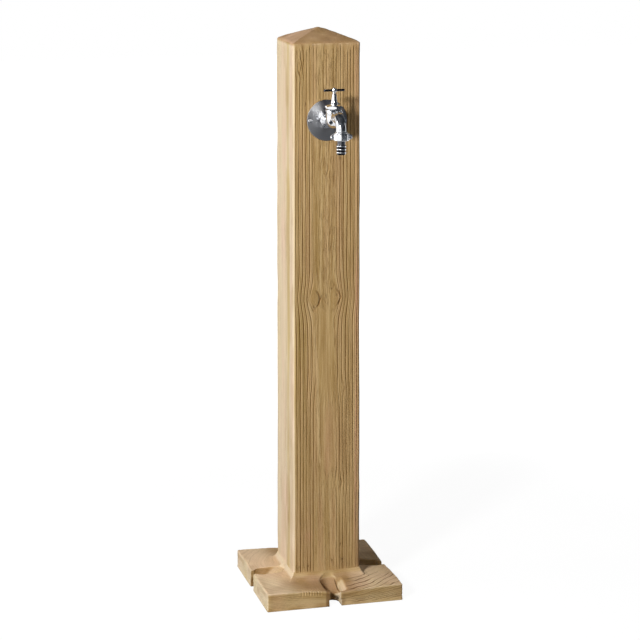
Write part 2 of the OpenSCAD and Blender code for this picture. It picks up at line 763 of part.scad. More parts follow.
module handle_screw() color(chrome) {
    translate([0, -valve_s, 0]) {
        translate([0, 0, square_top_z - cap_screw_grip])
            cylinder(r = cap_screw_r, h = hub_top_z - square_top_z + cap_screw_grip + cut / 2);
        translate([0, 0, hub_top_z])
            cylinder(r1 = cap_screw_head_r, r2 = cap_screw_head_r * cap_flat, h = cap_screw_head_h);
    }
}

// Hose union under the nose
module union_nut() color(chrome) {
    ear_x = ear_span / 2 - ear_r;
    mid_z = union_h / 2;
    translate([0, -outlet_s, union_z]) difference() {
        union() {
            cylinder(r = union_r, h = union_h);
            for (side = [-1, 1]) {
                translate([side * ear_x, ear_t / 2, mid_z]) rotate([90, 0, 0])
                    cylinder(r = ear_r, h = ear_t);
                translate([side * ear_x / 2, 0, mid_z])
                    cube([ear_x, ear_t, 2 * ear_r * web_share], center = true);
            }
        }
        translate([0, 0, -cut]) cylinder(r = barb_r + lip_gap, h = union_h);
        translate([0, 0, union_lip]) cylinder(r = nose_r + union_gap, h = union_h);
    }
}

module tail_gasket() color(rubber) {
    translate([0, -outlet_s, flange_top_z]) ring(flange_r, spout_bore_r + rim_step, tail_gasket_t);
}

// Profile of the tail: barbs that widen upwards, each ending in a short land
function barb_points(i) = let (z = tail_end_z + i * barb_pitch) [
    [tail_r, z],
    [barb_r, z + barb_pitch - barb_land - barb_back],
    [barb_r, z + barb_pitch - barb_back],
    [tail_r, z + barb_pitch - barb_back_end]
];

module hose_tail() color(chrome) {
    translate([0, -outlet_s, 0]) rotate_extrude() polygon(concat(
        [[tail_bore_r, tail_end_z]],
        [for (i = [0:barb_count - 1]) each barb_points(i)],
        [[tail_r, flange_z], [flange_r, flange_z], [flange_r, flange_top_z], [tail_bore_r, flange_top_z]]
    ));
}

post_casting();
supply_pipe();
inlet_adaptor();
inlet_olive();
inlet_nut();
tap_elbow();
elbow_screws();
elbow_plugs();
elbow_olive();
elbow_nut();
cover_plate();
cover_screws();
cover_plugs();
tap_body();
thread_tape();
bonnet_gasket();
bonnet();
gland_packing();
gland_nut();
jumper_valve();
valve_washer();
washer_nut();
spindle();
tee_handle();
handle_screw();
union_nut();
tail_gasket();
hose_tail();
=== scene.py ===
"""Garden tap post: cast stone with timber grain and a chromed tap, dressed round its fixed CAD frame."""

import json
import math
from itertools import product

import bmesh
import bpy
import numpy as np
from mathutils import Matrix, Vector


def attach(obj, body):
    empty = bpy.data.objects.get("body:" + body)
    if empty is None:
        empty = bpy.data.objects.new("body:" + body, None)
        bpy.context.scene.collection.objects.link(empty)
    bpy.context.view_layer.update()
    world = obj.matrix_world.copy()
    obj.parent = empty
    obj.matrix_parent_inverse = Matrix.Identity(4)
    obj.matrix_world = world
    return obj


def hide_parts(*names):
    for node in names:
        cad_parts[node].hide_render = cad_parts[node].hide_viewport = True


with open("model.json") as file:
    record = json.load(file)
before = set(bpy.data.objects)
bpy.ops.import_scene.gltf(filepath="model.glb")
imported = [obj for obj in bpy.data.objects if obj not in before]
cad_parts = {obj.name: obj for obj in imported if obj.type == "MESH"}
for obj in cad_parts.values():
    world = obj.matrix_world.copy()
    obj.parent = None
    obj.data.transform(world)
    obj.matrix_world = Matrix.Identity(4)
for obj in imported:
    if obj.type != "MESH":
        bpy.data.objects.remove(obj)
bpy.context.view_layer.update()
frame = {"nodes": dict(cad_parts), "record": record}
nodes = frame["nodes"]
scene = bpy.context.scene

MM = 0.001

# Sizes of the post, in millimetres
POST_H = 1000.0
SHOULDER = 979.6
SHAFT_TOP = 118.0
SHAFT_FOOT = 122.5
CORNER_R = 5.0
BASE_T = 33.0
BASE_W = 246.0
EDGE = BASE_W / 2
APEX = POST_H - 0.4


def half_width(z):
    """Half the shaft's width at a height."""
    share = (z - BASE_T) / (SHOULDER - BASE_T)
    return (SHAFT_FOOT + (SHAFT_TOP - SHAFT_FOOT) * share) / 2


# Places of the tap, in millimetres: heights, and distances in front of the post's axis
TAP_H = 848.0
NUT_H = 832.0
TEE_H = 904.0
TAIL_FOOT_H = 802.5
FACE_S = half_width(TAP_H)
PLATE_S = FACE_S - 0.2
FRONT_S = PLATE_S + 2.0
VALVE_S = FRONT_S + 45.8
OUTLET_S = VALVE_S + 45.0
PIPE_S = PLATE_S - 1.7 - 21.5

# Parts of the tap and of the holes behind it
BARBS = 3
BARB_STEP = 5.3
THREAD_TURNS = 4
THREAD_STEP = 1.2
BEND_R = 20.0
PLATE_R = 35.0
PLATE_HOLE_R = 11.0
SCREW_X = 29.3
SEAT_R = PLATE_R + 0.5
POCKET_R = 22.0


# Helpers for meshes and arrays

def add_object(name, data):
    """Puts new data in the scene as an object."""
    made = bpy.data.objects.new(name, data)
    scene.collection.objects.link(made)
    return made


def mesh_object(name, verts, faces):
    """A new mesh piece in the frame, from vertices in millimetres."""
    mesh = bpy.data.meshes.new(name)
    mesh.from_pydata([tuple(v) for v in np.asarray(verts, float) * MM], [], faces)
    mesh.update()
    return add_object(name, mesh)


def coords(piece):
    """The vertices of a piece, in millimetres."""
    flat = np.zeros(len(piece.data.vertices) * 3)
    piece.data.vertices.foreach_get("co", flat)
    return flat.reshape(-1, 3) / MM


def set_coords(piece, points):
    """Moves the vertices of a piece to points in millimetres."""
    piece.data.vertices.foreach_set("co", (points * MM).ravel())
    piece.data.update()


def normals(piece):
    """The way that the skin faces at each vertex."""
    flat = np.zeros(len(piece.data.vertices) * 3, np.float32)
    piece.data.vertex_normals.foreach_get("vector", flat)
    return flat.reshape(-1, 3).astype(float)


def apply_all(piece):
    """Turns the piece's modifiers into plain mesh."""
    bpy.context.view_layer.update()
    graph = bpy.context.evaluated_depsgraph_get()
    solid = bpy.data.meshes.new_from_object(piece.evaluated_get(graph))
    old = piece.data
    piece.modifiers.clear()
    piece.data = solid
    bpy.data.meshes.remove(old)
    solid.name = piece.name
    return piece


def add_voxels(piece, voxel):
    """Adds an even skin of small squares, not yet applied."""
    step = piece.modifiers.new("voxels", "REMESH")
    step.mode = "VOXEL"
    step.voxel_size = voxel * MM


def boolean(piece, other, operation):
    """Cuts or joins with another closed piece, which is then removed."""
    step = piece.modifiers.new(operation.lower(), "BOOLEAN")
    step.solver = "MANIFOLD"
    step.operation = operation
    step.object = other
    apply_all(piece)
    bpy.data.objects.remove(other)
    return piece


def smooth(points, neighbours, rounds):
    """Relaxes vertices half way to the mean of their neighbours."""
    start, end, count = neighbours
    for _ in range(rounds):
        total = np.zeros_like(points)
        np.add.at(total, start, points[end])
        np.add.at(total, end, points[start])
        points = points + 0.5 * (total / count - points)
    return points


def neighbours_of(piece):
    """The two ends of each edge, and how many edges meet at each vertex."""
    pairs = np.zeros(len(piece.data.edges) * 2, np.int64)
    piece.data.edges.foreach_get("vertices", pairs)
    pairs = pairs.reshape(-1, 2)
    count = np.bincount(pairs.ravel(), minlength=len(piece.data.vertices))[:, None]
    return pairs[:, 0], pairs[:, 1], np.maximum(count, 1)


def smooth_shade(piece, angle):
    """Smooth shading, with the edges over an angle in degrees kept sharp."""
    mesh = piece.data
    mesh.polygons.foreach_set("use_smooth", [True] * len(mesh.polygons))
    mesh.set_sharp_from_angle(angle=math.radians(angle))


def noise(x, y, z=0.0, seed=0):
    """Smooth lattice noise between -1 and 1 on arrays."""
    x, y, z = np.broadcast_arrays(*(np.asarray(v, float) for v in (x, y, z)))
    cells = [np.floor(v).astype(np.int64) for v in (x, y, z)]
    parts = [v - c for v, c in zip((x, y, z), cells)]
    parts = [p * p * p * (p * (p * 6 - 15) + 10) for p in parts]
    total = np.zeros(x.shape)
    for corner in product((0, 1), repeat=3):
        # An integer hash gives each corner of the lattice its value
        a, b, c = (cell + step for cell, step in zip(cells, corner))
        h = (a * 73856093) ^ (b * 19349663) ^ (c * 83492791) ^ (seed * 40503 + 12345)
        h = (h & 0xFFFFFFFF) * 2654435761 & 0xFFFFFFFF
        h = (h ^ (h >> 15)) * 2246822519 & 0xFFFFFFFF
        h = h ^ (h >> 13)
        value = (h & 0xFFFF) / 32767.5 - 1
        weight = 1.0
        for part, step in zip(parts, corner):
            weight = weight * (part if step else 1 - part)
        total += weight * value
    return total


def ease(x, low, high):
    """0 below low, 1 above high, and smooth between."""
    t = np.clip((x - low) / (high - low), 0, 1)
    return t * t * (3 - 2 * t)


def window(x, rise, full, fall, end):
    """0 outside rise to end, 1 from full to fall, and smooth between."""
    return ease(x, rise, full) * (1 - ease(x, fall, end))


def spread(x, width):
    """A bell round zero."""
    return np.exp(-(x / width) ** 2)


# Node kit

def linear(r, g, b):
    """A colour as it is read off a screen, 0 to 255, made linear."""
    return tuple(((v / 255 + 0.055) / 1.055) ** 2.4 if v > 10 else v / 3295 for v in (r, g, b))


class Signal:
    """A node's socket that takes part in Python arithmetic."""

    def __init__(self, kit, socket):
        self.kit, self.socket = kit, socket

    def __add__(self, other):
        return self.kit.maths("ADD", self, other)

    __radd__ = __add__

    def __sub__(self, other):
        return self.kit.maths("SUBTRACT", self, other)

    def __rsub__(self, other):
        return self.kit.maths("SUBTRACT", other, self)

    def __mul__(self, other):
        return self.kit.maths("MULTIPLY", self, other)

    __rmul__ = __mul__

    def __truediv__(self, other):
        return self.kit.maths("DIVIDE", self, other)

    def __pow__(self, other):
        return self.kit.maths("POWER", self, other)

    def clamp(self):
        return self.kit.node("ShaderNodeClamp", {}, {"Value": self})

    def ease(self, low, high):
        """0 below low, 1 above high, and smooth between."""
        return self.kit.node("ShaderNodeMapRange", {"interpolation_type": "SMOOTHSTEP"},
                             {"Value": self, "From Min": low, "From Max": high})


class Kit:
    """A node tree under construction, with one way to add any node."""

    def __init__(self, tree):
        self.tree = tree

    def set(self, socket, value):
        """Links a signal to a socket, or gives the socket a value."""
        if isinstance(value, Signal):
            self.tree.links.new(value.socket, socket)
        elif isinstance(value, (tuple, list)):
            whole = tuple(value)
            socket.default_value = whole + (1.0,) if socket.type == "RGBA" and len(whole) == 3 else whole
        else:
            socket.default_value = value

    def node(self, kind, settings=None, values=None, out=0):
        """Adds a node: its settings first, then the values or links of its sockets."""
        made = self.tree.nodes.new(kind)
        for key, value in (settings or {}).items():
            if key == "stops":
                ramp = made.color_ramp.elements
                while len(ramp) < len(value):
                    ramp.new(1.0)
                for stop, (place, colour) in zip(ramp, value):
                    stop.position = place
                    stop.color = tuple(colour) + (1.0,)
            else:
                setattr(made, key, value)
        for key, value in (values or {}).items():
            self.set(made.inputs[key], value)
        return Signal(self, made.outputs[out]) if made.outputs else made

    def maths(self, operation, *values):
        return self.node("ShaderNodeMath", {"operation": operation}, dict(enumerate(values)))

    def place(self):
        """Object coordinates, in metres."""
        return self.node("ShaderNodeTexCoord", out="Object")

    def attribute(self, name):
        return self.node("ShaderNodeAttribute", {"attribute_name": name}, out="Vector")

    def split(self, vector):
        parts = self.node("ShaderNodeSeparateXYZ", {}, {0: vector}).socket.node.outputs
        return [Signal(self, part) for part in parts]

    def join(self, x, y, z):
        return self.node("ShaderNodeCombineXYZ", {}, {0: x, 1: y, 2: z})

    def scaled(self, vector, scale):
        return self.node("ShaderNodeVectorMath", {"operation": "MULTIPLY"}, {0: vector, 1: scale})

    def noise(self, vector, scale=1.0, detail=2.0, roughness=0.5):
        return self.node("ShaderNodeTexNoise", {}, {
            "Vector": vector, "Scale": scale, "Detail": detail, "Roughness": roughness})

    def mix(self, factor, a, b):
        """Colour a, or b where the factor is 1."""
        return self.node("ShaderNodeMix", {"data_type": "RGBA"}, {0: factor, 6: a, 7: b}, 2)

    def overlaid(self, colour, layers):
        """Lays (factor, shade) layers over a colour, each as far as its factor says."""
        for factor, shade in layers:
            colour = self.mix(factor, colour, linear(*shade))
        return colour

    def ramp(self, factor, stops):
        return self.node("ShaderNodeValToRGB", {"stops": stops}, {0: factor})

    def seen(self):
        """1 for what the camera, a mirror or a glass looks at, 0 for what only lights."""
        camera, glossy, clear = (self.node("ShaderNodeLightPath", out=f"Is {ray} Ray")
                                 for ray in ("Camera", "Glossy", "Transmission"))
        return (camera + glossy + clear).clamp()

    def mix_shaders(self, factor, a, b):
        return self.node("ShaderNodeMixShader", {}, {0: factor, 1: a, 2: b})


class Finish(Kit):
    """A material under construction."""

    def __init__(self, name, base, roughness, metallic=0.0, **constants):
        self.material = bpy.data.materials.new(name)
        self.material.use_nodes = True
        super().__init__(self.material.node_tree)
        self.shader = self.tree.nodes["Principled BSDF"]
        for socket, value in (("Base Color", base), ("Roughness", roughness), ("Metallic", metallic)):
            self.to(socket, value)
        for socket, value in constants.items():
            self.to(socket.replace("_", " "), value)

    def to(self, socket, value):
        """Links or sets an input of the material's shader."""
        self.set(self.shader.inputs[socket], value)

    def bump(self, height, distance, strength=1.0):
        self.to("Normal", self.node("ShaderNodeBump", {}, {
            "Height": height, "Distance": distance, "Strength": strength}, "Normal"))


# Solids, in millimetres

UP = (0, 0, 1)
AHEAD = (0, -1, 0)
SIDEWAYS = Vector((1, 0, 0))


def up(z, s=VALVE_S):
    """A point on an upright line in front of the post."""
    return (0, -s, z)


def turn_to(axis):
    """The turn that brings the upright onto an axis."""
    return Vector(UP).rotation_difference(Vector(axis)).to_matrix()


def rod(name, r, start, end, sides=48):
    """A plain closed bar between two points, in millimetres."""
    start, end = Vector(start), Vector(end)
    axis = end - start
    turn = turn_to(axis)
    verts = []
    for level in (0, axis.length):
        for i in range(sides):
            angle = 2 * math.pi * i / sides
            verts.append(start + turn @ Vector((r * math.cos(angle), r * math.sin(angle), level)))
    faces = [(i, (i + 1) % sides, sides + (i + 1) % sides, sides + i) for i in range(sides)]
    faces += [tuple(range(sides - 1, -1, -1)), tuple(range(sides, 2 * sides))]
    return mesh_object(name, verts, faces)


def block(name, low, high):
    """A box between its lowest and its highest corner, in millimetres."""
    verts = [(x, y, z) for z in (low[2], high[2]) for y in (low[1], high[1]) for x in (low[0], high[0])]
    faces = [(0, 2, 3, 1), (4, 5, 7, 6), (0, 1, 5, 4), (2, 6, 7, 3), (0, 4, 6, 2), (1, 3, 7, 5)]
    return mesh_object(name, verts, faces)


def outward(piece):
    """Turns the faces of a closed piece outward."""
    bm = bmesh.new()
    bm.from_mesh(piece.data)
    bmesh.ops.recalc_face_normals(bm, faces=bm.faces)
    bm.to_mesh(piece.data)
    bm.free()
    return piece


def lathe(name, profile, centre=(0, 0, 0), axis=UP, steps=64):
    """A turned solid from (radius, distance along the axis) points; open ends must lie on the axis."""
    turn = turn_to(axis)
    centre = Vector(centre)
    verts, rings = [], []
    for r, h in profile:
        if r == 0:
            rings.append([len(verts)] * steps)
            verts.append(centre + turn @ Vector((0, 0, h)))
        else:
            rings.append([len(verts) + i for i in range(steps)])
            for i in range(steps):
                angle = 2 * math.pi * i / steps
                verts.append(centre + turn @ Vector((r * math.cos(angle), r * math.sin(angle), h)))
    closed = profile[0][0] > 0
    pairs = list(zip(rings, rings[1:])) + ([(rings[-1], rings[0])] if closed else [])
    faces = []
    for low, high in pairs:
        for i in range(steps):
            j = (i + 1) % steps
            corners = [low[i], low[j], high[j], high[i]]
            faces.append(tuple(dict.fromkeys(corners)))
    return outward(mesh_object(name, verts, [f for f in faces if len(f) > 2]))


def tube(name, r, path, sides=40):
    """A closed round bar along a path in the plane across X."""
    verts, faces = [], []
    points = [Vector(p) for p in path]
    for i, p in enumerate(points):
        ahead = points[min(i + 1, len(points) - 1)] - points[max(i - 1, 0)]
        ahead.normalize()
        other = SIDEWAYS.cross(ahead)
        for k in range(sides):
            angle = 2 * math.pi * k / sides
            verts.append(p + (SIDEWAYS * math.cos(angle) + other * math.sin(angle)) * r)
    for i in range(len(points) - 1):
        low, high = i * sides, (i + 1) * sides
        faces += [(low + k, low + (k + 1) % sides, high + (k + 1) % sides, high + k) for k in range(sides)]
    faces += [tuple(range(sides - 1, -1, -1)), tuple(range((len(points) - 1) * sides, len(points) * sides))]
    return outward(mesh_object(name, verts, faces))


def hollow(piece, cutters):
    """Cuts rods and blocks out of a piece; each must leave it closed."""
    for cutter in cutters:
        boolean(piece, cutter, "DIFFERENCE")
    return piece


def join(piece, *others):
    """Puts closed shells together in one piece."""
    bm = bmesh.new()
    bm.from_mesh(piece.data)
    for other in others:
        bm.from_mesh(other.data)
        bpy.data.objects.remove(other)
    bm.to_mesh(piece.data)
    bm.free()
    return piece


def repeat_tree(material):
    """Node tree that sets copies of one shape along a line."""
    tree = bpy.data.node_groups.new("row_of_copies", "GeometryNodeTree")
    for name, way, kind in (("Geometry", "INPUT", "Geometry"), ("Count", "INPUT", "Int"),
                            ("Step", "INPUT", "Vector"), ("Geometry", "OUTPUT", "Geometry")):
        tree.interface.new_socket(name, in_out=way, socket_type=f"NodeSocket{kind}")
    kit = Kit(tree)
    start = kit.node("NodeGroupInput").socket.node
    shape, count, step = (Signal(kit, socket) for socket in start.outputs[:3])
    line = kit.node("GeometryNodeMeshLine", {}, {"Count": count, "Offset": step})
    row = kit.node("GeometryNodeInstanceOnPoints", {}, {"Points": line, "Instance": shape})
    real = kit.node("GeometryNodeRealizeInstances", {}, {"Geometry": row})
    finish = kit.node("GeometryNodeSetMaterial", {}, {"Geometry": real, "Material": material})
    kit.node("NodeGroupOutput", {}, {"Geometry": finish})
    return tree


def repeated(piece, count, step, material):
    """Copies a piece in a row, as plain mesh."""
    tree = repeat_tree(material)
    row = piece.modifiers.new("row", "NODES")
    row.node_group = tree
    names = {s.name: s.identifier for s in tree.interface.items_tree if s.in_out == "INPUT"}
    row[names["Count"]] = count
    row[names["Step"]] = [v * MM for v in step]
    return apply_all(piece)


def chamfered_hex(name, flats, low, high, centre, axis=UP, start=0.0):
    """A hexagon with its corners turned off at both ends, as on a real nut."""
    turn = turn_to(axis)
    verts = []
    for h in (low, high):
        for i in range(6):
            angle = math.pi / 3 * i + start
            corner = Vector((math.cos(angle), math.sin(angle), 0)) * flats / math.sqrt(3)
            verts.append(Vector(centre) + turn @ (corner + Vector((0, 0, h))))
    faces = [(i, (i + 1) % 6, 6 + (i + 1) % 6, 6 + i) for i in range(6)]
    prism = outward(mesh_object(name, verts, faces + [(5, 4, 3, 2, 1, 0), (6, 7, 8, 9, 10, 11)]))
    r, slope = flats / 2 * 0.97, 1.5
    wide = flats / math.sqrt(3) + 0.2
    rise = (wide - r) / slope
    turned = [(0, low), (r, low), (wide, low + rise), (wide, high - rise), (r, high), (0, high)]
    return boolean(prism, lathe("envelope", turned, centre, axis), "INTERSECT")


def bar_field(p, stations):
    """Distance to a bar of changing radius that runs through stations ((x, y, z), radius)."""
    best = np.full(len(p), 1e9)
    for (start, r0), (end, r1) in zip(stations, stations[1:]):
        start, span = np.array(start, float), np.array(end, float) - np.array(start, float)
        t = np.clip((p - start) @ span / (span @ span), 0, 1)
        away = np.linalg.norm(p - start - np.outer(t, span), axis=1)
        best = np.minimum(best, away - (r0 + (r1 - r0) * t))
    return best


def drum_field(p, centre, axis, r, half, edge):
    """Distance to a drum with rounded edges."""
    q, n = p - np.array(centre, float), np.array(axis, float)
    along = q @ n
    across = np.linalg.norm(q - np.outer(along, n), axis=1) - (r - edge)
    along = np.abs(along) - (half - edge)
    outside = np.hypot(np.maximum(across, 0), np.maximum(along, 0))
    return outside + np.minimum(np.maximum(across, along), 0) - edge


def rough_shape(name, bars, drums, voxel):
    """Balls and drums along the bars and drums of a blend, under one skin of small squares."""
    rough = bmesh.new()
    for stations in bars:
        for (start, r0), (end, r1) in zip(stations, stations[1:]):
            start, end = Vector(start), Vector(end)
            count = max(int((end - start).length / 1.5), 1)
            for i in range(count + 1):
                share = i / count
                bmesh.ops.create_icosphere(rough, subdivisions=2, radius=(r0 + (r1 - r0) * share) * MM,
                                           matrix=Matrix.Translation(start.lerp(end, share) * MM))
    for centre, axis, r, half, _ in drums:
        place = Matrix.Translation(Vector(centre) * MM) @ turn_to(axis).to_4x4()
        bmesh.ops.create_cone(rough, cap_ends=True, segments=40, radius1=r * MM, radius2=r * MM,
                              depth=2 * half * MM, matrix=place)
    mesh = bpy.data.meshes.new(name)
    rough.to_mesh(mesh)
    rough.free()
    piece = add_object(name, mesh)
    add_voxels(piece, voxel)
    return apply_all(piece)


def blend(name, bars, drums, fillet, voxel):
    """One smooth solid through bars and drums, with a fillet wherever they meet."""
    piece = rough_shape(name, bars, drums, voxel)

    def field(p):
        parts = [bar_field(p, stations) for stations in bars] + [drum_field(p, *drum) for drum in drums]
        total = parts[0]
        for part in parts[1:]:
            share = np.clip(0.5 + 0.5 * (part - total) / fillet, 0, 1)
            total = part * (1 - share) + total * share - fillet * share * (1 - share)
        return total

    points = coords(piece)
    ring = neighbours_of(piece)
    for round_no in range(7):
        if round_no < 4:
            points = smooth(points, ring, 2)
        steps = np.eye(3) * 0.02
        slope = np.stack([field(points + step) - field(points - step) for step in steps], 1) / 0.04
        points = points - slope * (field(points) / np.maximum((slope ** 2).sum(1), 0.2))[:, None]
    set_coords(piece, points)
    return piece


# The cast post

FACES = 4
FRONT, RIGHT, BACK, LEFT = range(FACES)
# Stands in the marks for the base, beside the numbers of the shaft's faces
FOOT = 5

# Knots on each face: across, height, half width, half height, strength
KNOTS = {
    FRONT: [(-22, 539, 10.5, 18, 1.0), (13.5, 541, 11.5, 18, 1.0), (-48, 944, 5, 15, 0.8),
            (-4, 765, 7, 14, 0.6), (27, 379, 7, 12, 0.5), (-16, 240, 5, 7, 0.4), (19, 206, 9, 13, 0.6)],
    RIGHT: [(12, 690, 9, 16, 0.9), (-24, 330, 7, 13, 0.8)],
    BACK: [(18, 610, 11, 18, 1.0), (-20, 455, 8, 14, 0.8), (5, 860, 7, 12, 0.7)],
    LEFT: [(26, 420, 6, 14, 0.3)],
}
# Small dark pits in the front: across, height, radius
PITS = [(-23, 525.5, 2.2), (9, 556, 1.5), (18, 544.5, 1.8), (24, 782, 2.2), (-37, 876, 1.1), (-52, 900, 0.9),
        (10, 63, 2.0), (28.5, 63.5, 2.4), (-50, 55, 1.6), (-34, 56, 1.8), (25, 92, 1.5), (-33, 115, 1.2)]
# Depth of the grain and spacing of its lines on each face, in millimetres
RELIEF = {FRONT: 0.9, RIGHT: 0.8, BACK: 0.8, LEFT: 0.16}
SPACING = {FRONT: 6.0, RIGHT: 6.2, BACK: 6.2, LEFT: 9.0}


def flow(face, a, z):
    """Grain coordinate across a face: the grain runs along lines where it is constant."""
    u = a + 1.3 * noise(a / 26, z / 240, seed=face) + 0.4 * noise(a / 9, z / 55, seed=face + 9)
    if face == FRONT:
        # The grain draws in under the pair of knots, and waves beside the knot at the top
        u = u + np.sign(a + 2) * 5.0 * spread(a + 2, 34) * window(z, 330, 420, 500, 545)
        u = u + 2.2 * np.sin((z - 925) / 7.5) * spread(a + 47, 8) * spread(z - 940, 26)
    for x, height, half_w, half_h, strength in KNOTS[face]:
        dx, dz = a - x, z - height
        push = half_w * dx / np.sqrt(dx * dx + (0.4 * half_w) ** 2)
        reach = np.exp(-np.abs(dx) / (1.7 * half_w)) * np.exp(-np.abs(dz / (1.5 * half_h)) ** 1.6)
        u = u - 0.95 * strength * push * reach
    return u


def cuts(phase):
    """Depth of the grain's valleys at a phase: one at each whole number, a finer one half way."""
    t = phase - np.round(phase)
    return spread(t, 0.15) + 0.35 * spread(np.abs(t) - 0.5, 0.12)


def path(z, stations):
    """Place across the face, at each height, of a streak through (height, across) points."""
    heights, across = zip(*stations)
    return np.interp(z, heights, across)


# Streaks of the front: heights and places they run through, width, lightness, warmth
STREAKS = [
    ([(245, -13.5), (300, -14.5), (380, -15.5), (440, -19), (500, -26), (530, -32)], 3.2, 0.9, 0.2),
    ([(258, -11), (320, -11.5), (380, -12)], 0.9, -1.4, 0.0),
    ([(560, -27), (640, -28), (760, -30), (880, -31)], 2.8, 0.7, 0.5),
    ([(580, -17), (680, -16.5), (800, -20)], 3.6, -0.55, -0.4),
    ([(556, -12), (620, -10), (760, -9.5), (800, -10)], 0.8, 1.3, 0.0),
    ([(590, -35), (700, -37), (900, -38)], 1.1, -0.9, 0.6),
    ([(540, 34), (640, 26.5), (790, 25)], 0.9, -1.3, 0.0),
    ([(400, 20.5), (500, 14), (520, 13)], 1.0, -0.9, 0.3),
    ([(60, 25), (170, 25), (240, 21), (340, 20)], 0.9, -0.9, 0.0),
    ([(420, -47), (500, -50)], 2.6, -0.5, -1.2),
    ([(340, -40), (480, -39)], 2.2, -0.4, -1.3),
    ([(640, 51.5), (960, 51)], 1.2, 1.0, 1.0),
    ([(100, 52), (620, 53.5)], 1.5, 0.8, 1.6),
]


def tone(face, a, z):
    """Lightness and warmth of the stone's colour, both about zero."""
    light = 0.45 * noise(a / 6, z / 160, seed=face + 40) + 0.25 * noise(a / 3, z / 60, seed=face + 50)
    warm = 0.5 * noise(a / 11, z / 130, seed=face + 60)
    if face == FRONT:
        for stations, width, lighter, warmer in STREAKS:
            near = spread(a - path(z, stations) + 0.6 * noise(z / 22, width, seed=6), width)
            low, high = stations[0][0], stations[-1][0]
            near = near * window(z, low - 8, low + 4, high - 4, high + 8)
            light, warm = light + near * lighter, warm + near * warmer
        # Rosy at the right edge, in a patch in the middle and a spot near the foot; yellower low on the left
        warm = warm + 0.8 * ease(a, 45.5, 57.5) - 0.5 * ease(-a, 20, 50) * window(z, 60, 300, 520, 600)
        warm = warm + 0.6 * spread(a - 6, 14) * window(z, 210, 240, 330, 380)
        warm = warm + 0.8 * spread(np.hypot(a + 34, z - 112), 9)
        # Darker round the right corner, a painted shade where the front turns from the light, with a lighter
        # strip just before it
        light = light - 0.45 * ease(a, 57.5, 60) + 0.3 * spread(a - 55, 2.5)
    if face == LEFT:
        # A yellow-green stripe that drifts, darker low down, between two rosy ones
        stripe = a - 24 + 3 * noise(z / 120, 0.3, seed=70)
        warm = 0.4 * warm + 0.8 * spread(a + 10, 20) - 1.1 * spread(stripe, 9) + 0.8 * ease(a, 36, 44)
        light = 0.3 * light - (0.25 + 0.55 * spread(z - 150, 90)) * spread(stripe, 11)
        light = light - 0.35 * ease(-a, 48, 56) - 0.35 * spread(a - 18, 16) * spread(z - 900, 60)
        patch = ease(noise(a / 11, z / 34, seed=71), -0.2, 0.7) * ease(a, -14, 6)
        light = light - 0.32 * patch - 0.2 * ease(noise(a / 16, z / 60, seed=72), 0, 0.8)
        warm = warm + 1.2 * spread(a - 12, 18) * spread(z - 165, 60) + 0.5 * noise(a / 15, z / 80, seed=73)
    return light, warm


def front_calm(a, z):
    """Where the front is smooth: under the pair of knots, in a patch low down and in a stripe above."""
    tongue = ease(14.5 - np.abs(a + 1) + 1.5 * noise(z / 30, 1.0, seed=4), 0, 2.5)
    tongue = tongue * window(z, 345, 380, 512, 524)
    patch = 0.8 * ease(15 - np.abs(a - 3), 0, 4) * window(z, 225, 240, 335, 350)
    stripe = 0.7 * spread(a + 17, 5) * window(z, 585, 600, 780, 800)
    return np.maximum(np.maximum(tongue, patch), stripe)


